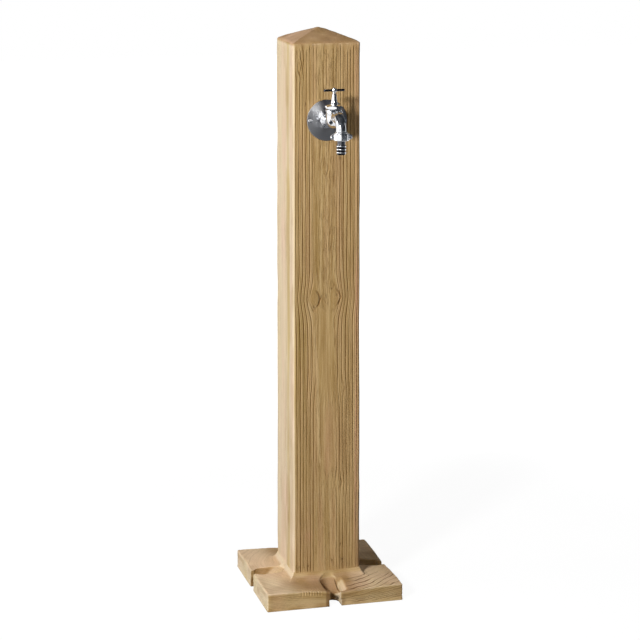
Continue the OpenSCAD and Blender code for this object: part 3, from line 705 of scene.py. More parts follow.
def grain(face, a, z):
    """Marks at places on a face: phase, strength, depth (mm), rims, pits, lightness, warmth, strokes."""
    phase = (flow(face, a, z) + 0.8 * noise(a / 14, z / 380, seed=face * 17)) / SPACING[face]
    line = np.round(phase)
    strength = 0.8 + 0.3 * noise(line * 7.31, z / 150 + line * 3.7, seed=face + 3)
    strokes = 0.15 + 0 * a
    calm = np.zeros_like(a)
    dark = np.zeros_like(a)
    if face == FRONT:
        # Faint lines and short strokes in the middle, and fainter, uneven ones in the upper part
        middle = ease(20 + 3 * noise(z / 60, 2.0, seed=41) - np.abs(a + 1), -4, 6)
        strength = strength * (1 - 0.8 * middle * (1 - 0.4 * ease(z, 880, 920)))
        upper = window(a, -47, -40, 20, 34) * ease(z, 610, 700)
        strength = strength * (1 - upper * (0.32 + 0.3 * noise(a / 16, z / 90, seed=91)))
        strokes = 0.15 + 0.6 * middle * (0.45 + 0.55 * ease(z, 380, 560))
        calm = front_calm(a, z)
    inner = np.zeros_like(a)
    for x, height, half_w, half_h, share in KNOTS[face]:
        dx, dz = (a - x) / half_w, (z - height) / half_h
        e = np.sqrt(dx * dx + dz * dz + 0.7 * np.abs(dx * dz)) + 0.07 * noise(a / 3.5, z / 5, seed=44)
        inside = 1 - ease(e, 0.75, 1.0)
        # On its right, the side away from the light, each knot's rim is cut and darkened: a groove, with
        # painted shadow in its colour
        side = np.clip(0.12 + 1.5 * dx, 0, 1) * ease(1.05 - np.abs(dz), 0, 0.5)
        edge = spread(e - 1.0, 0.11) * side
        turns = np.mod(e * 2.4 + 0.15 * noise(a / 2.5, z / 4, seed=45), 1)
        rings = spread(turns - 0.5, 0.2) * inside * ease(e, 0.1, 0.3)
        strength = strength * (1 - 0.9 * inside * share)
        strokes = strokes * (1 - 0.8 * inside * share)
        inner = inner + share * (1.15 * edge + (0.5 if share < 0.7 else 0.16) * rings)
    if face == FRONT:
        for x, height, r in PITS:
            rise = z - height
            dark = dark + spread(np.hypot(a - x + 0.25 * rise, 0.8 * rise), 0.75 * r)
    dark = np.clip(dark, 0, 1)
    strength = strength * (1 - 0.92 * calm)
    strokes = strokes * (1 - 0.85 * calm)
    # The grain dies away at the roof's edge and at the cove, and lies flatter under the cover plate
    fade = ease(z + 7 * noise(a / 2.5, 1.0, seed=2), 41, 52)
    fade = fade * (1 - ease(z + 9 * noise(a / 4, 3.3, seed=8), 962, 976))
    flat = fade
    if face == FRONT:
        flat = fade * (0.1 + 0.9 * ease(np.hypot(a, z - TAP_H), 34, 38))
    # Shadowed ends of the valleys under the eave and over the cove
    ends = spread(z - 966, 8) + spread(z - 54, 7)
    light, warm = tone(face, a, z)
    depth = np.minimum(strength * cuts(phase) + inner + 1.3 * dark + 0.2 * calm, 1.6)
    depth = depth * RELIEF[face] * (0.8 + 0.2 * noise(a / 22, z / 140, seed=face + 31)) * flat
    strength = np.minimum(strength * (1 + 0.5 * ends), 1.3)
    marks = [phase, strength * fade, depth, inner * fade, dark * fade, light, warm, strokes * fade]
    return np.stack(marks, 1)


def face_frame(face):
    """Outward normal and left-to-right tangent of a face, seen from outside."""
    normal = [(0, -1), (1, 0), (0, 1), (-1, 0)][face]
    return np.array(normal, float), np.array((-normal[1], normal[0]), float)


# Columns on each flat and on each corner of the shaft, and heights round which its rows stand close
COLUMNS = {FRONT: 132, RIGHT: 70, BACK: 70, LEFT: 48}
CORNER_COLUMNS = 7
FINE_ROWS = (60, 541, 775, 965)
EAVE_H = SHOULDER - 3.0
EAVE_DROP = 2.7
EAVE_SHARE = 0.055


def shaft_columns():
    """Columns round the shaft: face, share of the flat, and turn round the corner after it."""
    columns = []
    for face, count in COLUMNS.items():
        columns += [(face, -1 + 2 * i / count, 0.0) for i in range(count + 1)]
        columns += [(face, 1.0, (i / CORNER_COLUMNS) * math.pi / 2) for i in range(1, CORNER_COLUMNS)]
    return columns


def shaft_rows():
    """Heights of the shaft's rows, closer where the carving is fine."""
    rows, z = [], BASE_T - 3.0
    while z < EAVE_H:
        rows.append(z)
        near = min(abs(z - height) for height in FINE_ROWS) < 26
        z += 2.6 if near else 5.0
    return np.array(rows + [EAVE_H])


def shaft_row(columns, z):
    """One loop of the shaft at a height, carved, with its marks."""
    half = half_width(z)
    loop, mark = np.zeros((len(columns), 3)), np.zeros((len(columns), 9))
    for face in range(FACES):
        n, t = face_frame(face)
        following = (face + 1) % FACES
        own = np.nonzero(columns[:, 0] == face)[0]
        share, turn = columns[own, 1], columns[own, 2]
        cornered = turn > 0
        late = turn > math.pi / 4
        a = share * (half - CORNER_R) + CORNER_R * np.sin(turn)
        other = -(half - CORNER_R) - CORNER_R * np.cos(turn)
        height = np.full_like(a, z)
        values = np.where(late[:, None], grain(following, other, height), grain(face, a, height))
        # The carving is shallower at the edges, and dies away half way round a corner
        near_edge = ease(1 - np.abs(share), 0, 0.04)
        round_off = np.abs(turn - math.pi / 4) / (math.pi / 4)
        values[:, 2] *= np.where(cornered, 0.3 * round_off, 0.3 + 0.7 * near_edge)
        values[:, (1, 7)] *= np.where(cornered, 0.8 * round_off, 1)[:, None]
        values[:, 3:5] *= near_edge[:, None]
        wander = 0.45 * noise(z / 45, (face + 1.0 * cornered) * 3.0, seed=77) * ease(np.abs(share), 0.93, 1)
        if face == FRONT:
            # The right arris steps in near the foot
            wander = wander - 1.1 * window(z, 40, 60, 182, 194) * ease(share, 0.95, 1)
        centre = np.outer(share * (half - CORNER_R), t) + n * (half - CORNER_R)
        arm = np.outer(np.cos(turn), n) + np.outer(np.sin(turn), t)
        loop[own, :2] = centre + arm * (CORNER_R - values[:, 2] + wander - 0.3)[:, None]
        loop[own, 2] = z
        mark[own] = np.column_stack([values, np.where(late, following, face)])
    return loop, mark


def roof_ring(eave_loop, eave_mark, share_in):
    """The eave's loop drawn in by a share and raised to the roof, with its marks."""
    ring = eave_loop.copy()
    ring[:, :2] *= 1 - share_in
    x, y = ring[:, 0], ring[:, 1]
    reach, second = (pick(np.abs(ring[:, :2]), axis=1) / (SHAFT_TOP / 2) for pick in (np.max, np.min))
    hip = spread(reach - second, 0.16)
    blunt = math.sqrt(0.02)
    top = APEX - 20.4 * (np.sqrt(reach ** 2 + 0.02) - blunt) / (math.sqrt(1.02) - blunt)
    eave = EAVE_DROP * (1 - np.sqrt(1 - (1 - np.clip(share_in / EAVE_SHARE, 0, 1)) ** 2 * 0.999))
    dips = 0.45 * noise(x / 11, y / 11, seed=12) - 0.45
    pit = -1.2 * spread(np.hypot(x + 10, y + 12), 3.5)
    fade = ease(1 - share_in, 0.0, 0.15)
    ring[:, 2] = top - eave + (dips + pit - 0.8 * hip * (1 - eave / EAVE_DROP)) * fade
    bare = eave_mark.copy()
    bare[:, (1, 2, 3, 4, 7)] = 0
    leftward = ease(-x - np.abs(y), -2, 2)
    bare[:, 5] = -0.3 * leftward - 0.55 * (1 - leftward) + 0.3 * noise(x / 16, y / 16, seed=13)
    bare[:, 6] = 0.3 + 0.9 * leftward + 0.5 * noise(x / 20, y / 20, seed=14)
    return ring, bare


def build_shaft():
    """The shaft and its roof, as rings of vertices from the cove to the point."""
    columns = np.array(shaft_columns())
    rings = [shaft_row(columns, z) for z in shaft_rows()]
    # The roof's rings draw in by close steps over the eave, then by even ones
    steps = [0.006, 0.016, 0.032] + [EAVE_SHARE + (1 - EAVE_SHARE) * (i / 26) for i in range(26)]
    rings += [roof_ring(*rings[-1], share_in) for share_in in steps]
    count, levels = len(columns), len(rings)
    verts = np.concatenate([ring for ring, _ in rings] + [np.array([[0, 0, APEX]])])
    faces = []
    for row in range(levels - 1):
        low, high = row * count, (row + 1) * count
        faces += [(low + i, low + (i + 1) % count, high + (i + 1) % count, high + i) for i in range(count)]
    # The foot ends inside the cove; the point closes the top
    last = (levels - 1) * count
    faces += [(last + i, last + (i + 1) % count, len(verts) - 1) for i in range(count)]
    faces.append(tuple(range(count - 1, -1, -1)))
    marks = np.concatenate([mark for _, mark in rings] + [np.zeros((1, 9))])
    return mesh_object("shaft", verts, faces), marks


def ring_lines(p):
    """Growth rings that run round the base: phase and strength of their lines."""
    x, y, z = p.T
    rho = np.hypot(x - 4, y - 26) - 2.7 * (z - BASE_T)
    rho = rho + 4.5 * noise(x / 34, y / 34, z / 34, seed=21) + 1.2 * noise(x / 9, y / 9, z / 9, seed=22)
    phase = rho / 11.0
    line = np.round(phase)
    corner = ease(x, 20, 36) * ease(-y, 46, 80)
    strength = (0.8 + 0.6 * noise(line * 5.1, np.arctan2(y, x) * 4, seed=23)) * corner
    reach = np.maximum(np.abs(x), np.abs(y))
    faint = 0.09 * ease(reach, 66, 84) * (1 + noise(x / 25, y / 25, z / 25, seed=24))
    rim = ease(reach, 119, 122)
    strength = np.maximum(strength * (1 - 0.2 * rim), faint * (1 + 1.5 * rim))
    return phase, strength * ease(np.hypot(x, y), 72, 86)


def foot_solid():
    """The casting's foot, cut off the solid, in an even mesh of small squares."""
    piece = add_object("base", nodes["post_casting"].data.copy())
    bm = bmesh.new()
    bm.from_mesh(piece.data)
    bmesh.ops.remove_doubles(bm, verts=bm.verts, dist=0.005 * MM)
    cut = bmesh.ops.bisect_plane(bm, geom=bm.verts[:] + bm.edges[:] + bm.faces[:], dist=1e-7,
                                 plane_co=(0, 0, 64 * MM), plane_no=(0, 0, 1), clear_outer=True)
    rim = [g for g in cut["geom_cut"] if isinstance(g, bmesh.types.BMEdge)]
    bmesh.ops.triangle_fill(bm, edges=rim, use_beauty=True)
    bmesh.ops.recalc_face_normals(bm, faces=bm.faces)
    bm.to_mesh(piece.data)
    bm.free()
    shape = add_object("base_shape", piece.data.copy())
    add_voxels(piece, 1.6)
    wrap = piece.modifiers.new("wrap", "SHRINKWRAP")
    wrap.wrap_method = "NEAREST_SURFACEPOINT"
    wrap.target = shape
    apply_all(piece)
    bpy.data.objects.remove(shape)
    return piece


# How the base's top sags towards each slot: depth and reach on the slot's left, then on its right
SAGS = {FRONT: ((5.2, 22), (7.6, 85)), RIGHT: ((4.5, 45), (5.0, 60)),
        BACK: ((5.0, 50), (5.0, 50)), LEFT: ((1.2, 25), (1.2, 25))}


def build_base():
    """The casting's foot, worn and carved, with its marks; its well is cut later."""
    piece = foot_solid()
    points, n = coords(piece), normals(piece)
    phase, strength = ring_lines(points)
    x, y, z = points.T
    rim = ease(np.maximum(np.abs(x), np.abs(y)), 119, 122)
    outer = ease(np.hypot(x, y), 40, 60)
    foot = window(z, 1, 6, 44, 52) * outer
    wear = 0.28 * noise(x / 14, y / 14, z / 14, seed=61) + 0.16 * noise(x / 5, y / 5, z / 5, seed=62) - 0.4
    # Short notches along the front edge, left of the slot
    notch = window(x, -66, -58, -28, -20) * ease(-y, 104, 112) * ease(z, 22, 27)
    beat = np.mod(x + 0.3 * (y + 123) + 0.8 * noise(x / 7, 0.5, seed=3), 4.8) / 4.8
    teeth = spread(beat - 0.5, 0.24) * notch
    cut_in = 1.25 * strength * cuts(phase) * window(z, 2, 6, 34, 39) + 1.5 * teeth
    points = points + n * ((wear - cut_in) * foot)[:, None]
    for face, sides in SAGS.items():
        out, along = face_frame(face)
        s, t = points[:, :2] @ out, points[:, :2] @ along
        turn = ease(t, -10, 10)
        drop, reach = (left + (right - left) * turn for left, right in zip(*sides))
        dip = drop * np.exp(-(np.maximum(np.abs(t) - 10, 0) / reach) ** 1.3) * ease(s, 74, 122)
        points[:, 2] -= dip * ease(points[:, 2], 6, 26) * (points[:, 2] < 36)
    # The right lip of the front trough is worn down to a slope
    lip = ease(25 - points[:, 0], 0, 8) * (points[:, 0] > 12) * window(-points[:, 1], 66, 80, 106, 119)
    points[:, 2] -= 7.0 * lip * ease(points[:, 2], 14, 26)
    points[:, :2] = np.clip(points[:, :2], -EDGE + 0.05, EDGE - 0.05)
    points[:, 2] = np.maximum(points[:, 2], 0)
    # What stands inside the shaft draws in, so that only the shaft's own face shows
    inside = ease(points[:, 2], 43, 50)
    points[:, :2] *= (1 - 0.04 * inside * outer)[:, None]
    set_coords(piece, points)
    none = 0 * x
    level = ease(n[:, 2], 0.4, 0.9)
    light = (0.9 - 0.5 * level) * noise(x / 24, y / 24, z / 13, seed=81) - 0.7 * notch + 2.2 * teeth
    # A lighter line along the foot's top edges, a painted highlight
    light = light + 0.6 * window(z, 29, 32, 34, 36) * rim
    light = light + (0.8 * level + 0.5 * (1 - level)) * ease(x, 20, 60) + 0.15 * (1 - level)
    light = light - 0.75 * spread(x + 30, 42) * spread(y + 92, 32) * level
    light = light + 0.4 * (1 - level) * ease(x, 20, 60)
    warm = 0.7 * noise(x / 26, y / 26, z / 26, seed=82) + 0.4 * level
    marks = [phase, strength * foot, cut_in * foot, none, none, light, warm, none + 0.25, none + FOOT]
    return piece, np.stack(marks, 1)


def write_marks(piece, marks, own=slice(None)):
    """Stores what the stone's finish follows, on each vertex or on the vertices named."""
    points = coords(piece)[own]
    x, _, z = points.T
    phase, strength, _, edge, dark, light, warm, strokes, face = marks.T
    pale = np.zeros(len(points))
    # The left face is pale, partly its own paler colour and partly painted light, as it faces the lamps; the
    # right face is a little pale
    for side, share in ((LEFT, 1.0), (RIGHT, 0.3)):
        pale[face == side] = share
    # The arris between front and left is as pale as the left, which there too is partly painted light
    arris = (face == FRONT) & (x < -half_width(z) + 3.6)
    pale[arris] = 0.75
    foot = face == FOOT
    way = normals(piece)[own]
    # On the foot, what faces left is pale, as the trough's right wall is: painted light from the lamps at
    # the left, partly the left side's own paler colour
    pale = np.where(foot, 0.9 * ease(-way[:, 0], 0.35, 0.8) * ease(z, 0.5, 3), pale)
    roof = ease(z, 972, 978)
    # Painted shade in the slots and in their troughs, most of it in the front trough's left half, which the
    # trough's left wall shades
    slot = np.zeros(len(points))
    for side in range(FACES):
        out, along = face_frame(side)
        s, t = points[:, :2] @ out, np.abs(points[:, :2] @ along)
        depth = (1 - ease(t, 11, 16)) * ease(s, 60, 68) * (1 - ease(z, 12, 20))
        cavity = (1 - ease(t, 16.5, 17.5)) * ease(s, 60, 63) * (1 - ease(z, 30, 33))
        shady = ease(-(points[:, :2] @ along), -2, 12) if side == FRONT else 0.0
        slot = np.maximum(slot, np.maximum(depth, cavity * (0.35 + 0.65 * shady)) * (s > 55) * foot)
    base = foot * (1 - ease(z, 40, 47)) * ease(way[:, 2], 0.25, 0.7)
    layers = (("grain", np.stack([phase, z / 10, face], 1)),
              ("marks", np.stack([strength, np.clip(edge, 0, 1), np.clip(dark, 0, 1)], 1)),
              ("tones", np.stack([light, warm, strokes], 1)),
              ("zones", np.stack([pale * (1 - roof), slot, np.maximum(base, roof)], 1)))
    for name, values in layers:
        layer = piece.data.attributes.get(name) or piece.data.attributes.new(name, "FLOAT_VECTOR", "POINT")
        whole = np.zeros(len(piece.data.vertices) * 3, np.float32)
        layer.data.foreach_get("vector", whole)
        whole.reshape(-1, 3)[own] = values
        layer.data.foreach_set("vector", whole)


def build_post():
    """The casting as shaft and base, with the room behind the cover plate and the pipe's way cut out."""
    shaft, shaft_marks = build_shaft()
    write_marks(shaft, shaft_marks)
    base, base_marks = build_base()
    write_marks(base, base_marks)
    channel = (9.2, (0, -PIPE_S, -4), (0, -PIPE_S, 830))
    hollow(base, [rod("well", 22.4, (0, -PIPE_S, -2), (0, -PIPE_S, 58)), rod("channel", *channel)])
    cutters = [rod("channel", *channel), rod("pocket", POCKET_R, up(TAP_H, FACE_S - 39.9), up(TAP_H, 65)),
               rod("seat", SEAT_R, up(TAP_H, PLATE_S), up(TAP_H, 65), 96),
               block("nut_room", (-14.5, -65, 818.4), (14.5, 36.2 - FACE_S, TAP_H))]
    for x, r, start, end in ((SCREW_X, 3.0, 28.4 - FACE_S, -65), (17.4, 2.8, 62.5 - FACE_S, 37.4 - FACE_S)):
        cutters += [rod("plug_hole", r, (side, start, TAP_H), (side, end, TAP_H), 24) for side in (-x, x)]
    hollow(shaft, cutters)
    # The cutters left new vertices round the cover plate's seat
    x, y, z = coords(shaft).T
    rim = np.nonzero((np.hypot(x, z - TAP_H) < SEAT_R + 0.5) & (y < 1 - PLATE_S))[0]
    write_marks(shaft, np.column_stack([grain(FRONT, x[rim], z[rim]), np.full(len(rim), FRONT)]), rim)
    smooth_shade(shaft, 60)
    smooth_shade(base, 48)
    shaft.name = shaft.data.name = "cast_shaft"
    base.name = base.data.name = "cast_base"
    return shaft, base


# The tap; its outlines are radius and height over the ground, in millimetres

def build_tap_body():
    """Shank, collar, chamber, spout and threaded nose, with the water's way through them."""
    bend = []
    for i in range(10):
        angle = math.pi / 2 * i / 9
        bend.append(up(842 + BEND_R * math.cos(angle), OUTLET_S - BEND_R + BEND_R * math.sin(angle)))
    spout = [(up(861), 10.6), (up(862.4, VALVE_S + 12), 9.6)] + [(point, 8.7) for point in bend]
    spout.append((up(836, OUTLET_S), 8.6))
    chamber = [(up(855), 13.5), (up(868), 13.5)]
    neck = [(up(TAP_H, FACE_S + 8.6), 10.2), (up(TAP_H, FACE_S + 16.6), 9.5),
            (up(TAP_H + 1, FACE_S + 38.6), 10.2)]
    body = blend("tap_casting", [chamber, spout, neck], [], 6.0, 0.75)
    hollow(body, [block("over", (-30, -VALVE_S - 12, 871), (30, -VALVE_S + 30, 900)),
                  block("over", (-30, -VALVE_S - 20, 872), (30, -VALVE_S + 20, 900))])
    rim = [(0, 866), (13.4, 866), (13.9, 866.6), (14.3, 867.6), (14.3, 871.2), (13.8, 872.2), (13.1, 872.7),
           (0, 872.7)]
    shank = [(0, FACE_S - 13.9), (8.6, FACE_S - 13.9), (9.4, FACE_S - 13), (9.4, FACE_S + 3.6),
             (0, FACE_S + 3.6)]
    nose = [(0, 832), (9.6, 832), (10.1, 832.6), (10.1, 837.6), (10.6, 838), (10.6, 839.6), (9.4, 840.6),
            (0, 840.6)]
    for part in (lathe("rim", rim, up(0)),
                 chamfered_hex("collar", 24.0, FRONT_S, FRONT_S + 7, (0, 0, TAP_H), AHEAD),
                 lathe("shank", shank, (0, 0, TAP_H), AHEAD),
                 lathe("nose", nose, up(0, OUTLET_S))):
        boolean(body, part, "UNION")
    thread = lathe("turn", [(9.9, 0), (10.4, 0.35), (10.4, 0.5), (9.9, 0.85)], up(832.7, OUTLET_S))
    hollow(body, [rod("bore", 5, up(TAP_H, FACE_S - 15.4), up(TAP_H)),
                  rod("bore", 5, up(TAP_H), up(862)),
                  lathe("deck", [(7, 856), (7, 858.6), (10, 858.6), (10, 856)], up(0)),
                  lathe("room", [(0, 857.5), (10, 857.5), (10, 874), (0, 874)], up(0)),
                  tube("spout_bore", 5.5, [up(862, VALVE_S + 7)] + bend + [up(830, OUTLET_S)])])
    join(body, repeated(thread, THREAD_TURNS, (0, 0, THREAD_STEP), FINISH["chrome"]))
    smooth_shade(body, 38)
    return body


def build_bonnet():
    """Hexagonal head on a skirt, with a neck for the gland nut."""
    piece = chamfered_hex("bonnet_head", 27.0, 873.2, 878.7, up(0), start=math.pi / 6)
    skirt = [(0, 867), (9.4, 867), (9.95, 867.6), (9.95, 873.3), (0, 873.3)]
    boolean(piece, lathe("skirt", skirt, up(0)), "UNION")
    neck = [(0, 878), (4.45, 878), (4.45, 886.8), (4.1, 887.3), (0, 887.3)]
    boolean(piece, lathe("neck", neck, up(0)), "UNION")
    hollow(piece, [rod("bore", 5.6, up(866), up(876.7)), rod("bore", 2.7, up(866), up(890)),
                   rod("bore", 3.7, up(881.5), up(890))])
    smooth_shade(piece, 30)
    return piece


def build_gland_nut():
    """Smooth cone over the spindle's packing."""
    profile = [(4.5, 879.4), (6.2, 879.4), (6.65, 879.9), (6.65, 881.1), (6.2, 881.7), (5.5, 884.8),
               (4.6, 889.6), (4.0, 894.2), (3.75, 896.6), (3.5, 897.6), (3.1, 898), (2.66, 898),
               (2.66, 884.6), (3.65, 884.6), (3.65, 887.5), (4.5, 887.5)]
    piece = lathe("gland_cone", profile, up(0))
    smooth_shade(piece, 40)
    return piece


def build_tee():
    """The handle's cross bar, blended into its round hub, with a square hole for the spindle."""
    radii = {-16.2: 2.1, -12: 1.95, 0: 2.1, 12: 1.95, 16.2: 2.1}
    bar = [((x, -VALVE_S, TEE_H), r) for x, r in radii.items()]
    hub = [(up(TEE_H - 1), 3.6), (up(TEE_H + 1.4), 3.5)]
    piece = blend("tee_bar", [bar, hub], [], 1.6, 0.34)
    hollow(piece, [block("above", (-9, -VALVE_S - 9, 907), (9, -VALVE_S + 9, 912)),
                   block("below", (-9, -VALVE_S - 9, 896), (9, -VALVE_S + 9, 901)),
                   block("square", (-1.7, -VALVE_S - 1.7, 898), (1.7, -VALVE_S + 1.7, 910))])
    smooth_shade(piece, 40)
    return piece


def build_handle_screw():
    """Small domed screw with one slot, turned as it was left."""
    profile = [(0, 902.0), (0.9, 902.0), (0.9, 907), (2.2, 907), (2.3, 907.2), (2.25, 907.7), (1.9, 908.2),
               (1.2, 908.55), (0, 908.6)]
    piece = lathe("cap_screw", profile, up(0), steps=40)
    slot = block("slot", (-3, -0.28, 907.9), (3, 0.28, 910))
    slot.data.transform(Matrix.Translation(Vector(up(0)) * MM) @ Matrix.Rotation(0.6, 4, "Z"))
    hollow(piece, [slot])
    smooth_shade(piece, 30)
    return piece


def build_union_nut():
    """Round nut with two dimpled ears."""
    middle = up(NUT_H, OUTLET_S)
    dimple = [(0, 1.4), (1.9, 2.0), (2.3, 2.6), (2.3, 4), (0, 4)]
    drums, bars = [(middle, UP, 12.8, 6.0, 1.3)], []
    cutters = [rod("lip", 8.7, up(824, OUTLET_S), up(840, OUTLET_S)),
               rod("thread", 10.46, up(828.4, OUTLET_S), up(840, OUTLET_S), 64)]
    for side in (-1, 1):
        drums.append(((side * 14.4, -OUTLET_S, NUT_H), (0, 1, 0), 4.35, 2.5, 1.2))
        bars.append([((side * 8, -OUTLET_S, NUT_H), 2.9), ((side * 13, -OUTLET_S, NUT_H), 2.5)])
        ear = (side * 14.9, -OUTLET_S, NUT_H)
        cutters += [lathe("dimple", dimple, ear, (0, way, 0), 32) for way in (-1, 1)]
    piece = hollow(blend("winged_nut", bars, drums, 2.4, 0.6), cutters)
    smooth_shade(piece, 38)
    return piece


def build_hose_tail():
    """Flanged tail with its barbs."""
    tail = [(5.2, TAIL_FOOT_H), (6.5, TAIL_FOOT_H), (6.9, 803.1), (6.9, 819), (7.0, 827.6), (7.5, 828.4),
            (9.9, 828.4), (9.9, 830.4), (5.2, 830.4)]
    piece = lathe("ribbed_tail", tail, up(0, OUTLET_S))
    crest = [(6.4, 0.05), (6.95, 0.05), (7.9, 2.6), (8.3, 3.5), (8.4, 4.0), (8.4, 4.6), (8.15, 4.95),
             (7.0, 5.2), (6.4, 5.2)]
    barb = lathe("barb", crest, up(TAIL_FOOT_H, OUTLET_S))
    join(piece, repeated(barb, BARBS, (0, 0, BARB_STEP), FINISH["chrome"]))
    smooth_shade(piece, 40)
    return piece


def build_cover_plate():
    """Round plate with a rolled edge, a hole for the tap and two countersunk screw holes."""
    face = FRONT_S - 0.1
    profile = [(PLATE_HOLE_R, PLATE_S), (PLATE_R - 0.4, PLATE_S), (PLATE_R, PLATE_S + 0.4),
               (PLATE_R, face - 0.7), (PLATE_R - 0.25, face - 0.25), (PLATE_R - 0.7, face - 0.05),
               (33.2, face), (12, face), (PLATE_HOLE_R, face - 0.4)]
    piece = lathe("round_plate", profile, (0, 0, TAP_H), AHEAD, 128)
    sink = [(0, PLATE_S - 1), (1.95, PLATE_S - 1), (1.95, face - 1.8), (4.0, face), (4.0, face + 1),
            (0, face + 1)]
    hollow(piece, [lathe("sink", sink, (x, 0, TAP_H), AHEAD, 40) for x in (-SCREW_X, SCREW_X)])
    smooth_shade(piece, 30)
    return piece


def build_cover_screws():
    """One raised countersunk screw with a cross recess, then the pair."""
    tip = FRONT_S - 28
    profile = [(0, tip), (0.9, tip + 1.2), (1.75, tip + 5), (1.9, FRONT_S - 2), (3.75, FRONT_S - 0.15),
               (3.5, FRONT_S + 0.35), (2.6, FRONT_S + 0.75), (1.3, FRONT_S + 1.0), (0, FRONT_S + 1.05)]
    piece = lathe("cross_screw", profile, (0, 0, TAP_H), AHEAD, 40)
    place = Matrix.Translation(Vector((0, -(FRONT_S + 0.9), TAP_H)) * MM)
    stretch = Matrix.Diagonal((1, 2.4, 1, 1))
    for angle in (0.35, 0.35 + math.pi / 2):
        arm = block("arm", (-2.3, -0.42, -0.42), (2.3, 0.42, 0.42))
        arm.data.transform(place @ Matrix.Rotation(angle, 4, "Y") @ stretch)
        hollow(piece, [arm])
    piece.data.transform(Matrix.Translation((-SCREW_X * MM, 0, 0)))
    repeated(piece, 2, (2 * SCREW_X, 0, 0), FINISH["bright_steel"])
    smooth_shade(piece, 30)
    return piece


# Finishes

def stone_finish():
    """Cast stone, pale or brown, with the colour and the carving led by the mesh's marks."""
    f = Finish("cast_stone", (0.5, 0.36, 0.2), 0.82, Specular_IOR_Level=0.25)
    phase, v, face = f.split(f.attribute("grain"))
    strength, edge, dark = f.split(f.attribute("marks"))
    light, warm, strokes = f.split(f.attribute("tones"))
    pale, slot, base = f.split(f.attribute("zones"))
    place = f.place()
    x, _, _ = f.split(place)
    side = phase - f.maths("ROUND", phase)
    t = f.maths("ABSOLUTE", side)
    streak = f.noise(f.join(phase * 2.1, v * 0.09, face * 7.1), 1.0, 3.0, 0.65)
    hair = f.noise(f.join(phase * 9.0, v * 0.25, face * 7.1), 1.0, 2.0, 0.6)
    broad = f.noise(f.join(phase * 0.45, v * 0.03, face * 3.3), 1.0, 2.0)
    short = f.noise(f.join(phase * 3.2, v * 0.42, face * 5.3), 1.0, 2.0, 0.5)
    blotch = f.noise(place, 26.0, 3.0, 0.55)
    grit = f.noise(place, 700.0, 3.0, 0.7)
    valley = 1 - (t + 0.12 * (streak - 0.5)).ease(0.03, 0.18)
    # crest: a painted highlight just right of each groove, where its far wall faces the light; glint: a
    # painted highlight between the strokes
    crest = side.ease(0.08, 0.2) * (1 - side.ease(0.24, 0.4)) * strength
    fine = t.ease(0.37, 0.5)
    stroke = short.ease(0.53, 0.62) * strokes
    glint = short.ease(0.44, 0.36) * strokes
    valleys = (valley * 0.95 + fine * 0.3) * strength * (0.7 + 0.5 * streak)
    # edge brings in the knots' rims, darkened on their right as painted shadow
    carving = (valleys + stroke * 0.45 + edge * 0.8).clamp()

    # The browner faces: ridges between grooves
    ridge = f.ramp(streak, [(0.32, linear(160, 127, 76)), (0.5, linear(180, 147, 95)),
                            (0.66, linear(204, 173, 122))])
    ridge = f.overlaid(ridge, [
        (broad.ease(0.4, 0.62) * 0.4, (184, 151, 104)),
        (hair.ease(0.45, 0.7) * 0.35, (150, 116, 68)),
        (light * 0.6, (216, 187, 138)),
        (light * -0.55, (132, 99, 52)),
        (warm * 0.42, (196, 148, 112)),
        (warm * -0.42, (152, 124, 60)),
        # Painted highlights beside the grooves and between the strokes
        (glint * 0.4 + crest * 0.4, (208, 178, 128))])
    groove = f.mix(streak.ease(0.3, 0.7), linear(112, 76, 32), linear(136, 98, 48))
    front = f.overlaid(f.mix(carving, ridge, groove), [(dark * 0.8, (82, 52, 24))])

    # The pale face, partly its own paler colour and partly painted light
    cream = f.mix(streak.ease(0.35, 0.65), linear(218, 200, 170), linear(226, 208, 174))
    cream = f.overlaid(cream, [
        (warm * 0.8, (224, 196, 170)),
        (warm * -0.8, (212, 188, 132)),
        (light * -0.8, (176, 146, 100)),
        (hair.ease(0.4, 0.8) * 0.2, (206, 184, 148)),
        (carving * 0.3, (186, 152, 104))])

    # The worn tops of base and roof
    worn = f.mix(blotch.ease(0.35, 0.65), linear(184, 152, 108), linear(168, 134, 90))
    worn = f.overlaid(worn, [
        (x.ease(-0.05, -0.1) * 0.95, (230, 206, 170)),
        (light * 0.8, (232, 206, 166)),
        (warm * 0.5, (206, 170, 142)),
        (warm * -0.5, (186, 158, 96)),
        (light * -0.8, (138, 104, 62)),
        (carving * 0.9, (112, 82, 48))])

    colour = f.mix(base * (1 - pale), f.mix(pale, front, cream), worn)
    colour = f.overlaid(colour, [
        # Painted shade in the slots and their troughs
        (slot * (1 - pale) * 0.8, (118, 84, 44)),
        (grit.ease(0.55, 0.75) * 0.22, (112, 84, 50)),
        (grit.ease(0.5, 0.3) * 0.15, (222, 198, 160))])
    f.to("Base Color", colour)
    f.to("Roughness", 0.76 + 0.16 * grit)
    lines = (valley * 0.95 + fine * 0.35) * strength + stroke * 0.6 + edge * 0.9
    f.bump((streak * 0.35 + hair * 0.2 + grit * 0.2) - lines, 0.0011, 0.9)
    return f.material


def chrome_finish():
    """Polished chrome with a light haze."""
    f = Finish("chrome_plate", (0.78, 0.79, 0.81), 0.09, 1.0)
    place = f.place()
    haze = f.noise(place, 420.0, 3.0, 0.6)
    smear = f.noise(place, 60.0, 2.0)
    f.to("Roughness", 0.1 + 0.08 * haze.ease(0.45, 0.75) + 0.05 * smear)
    f.to("Base Color", f.mix(smear.ease(0.4, 0.7) * 0.35, (0.80, 0.81, 0.83), (0.68, 0.70, 0.73)))
    f.bump(smear, 0.0003, 0.25)
    return f.material


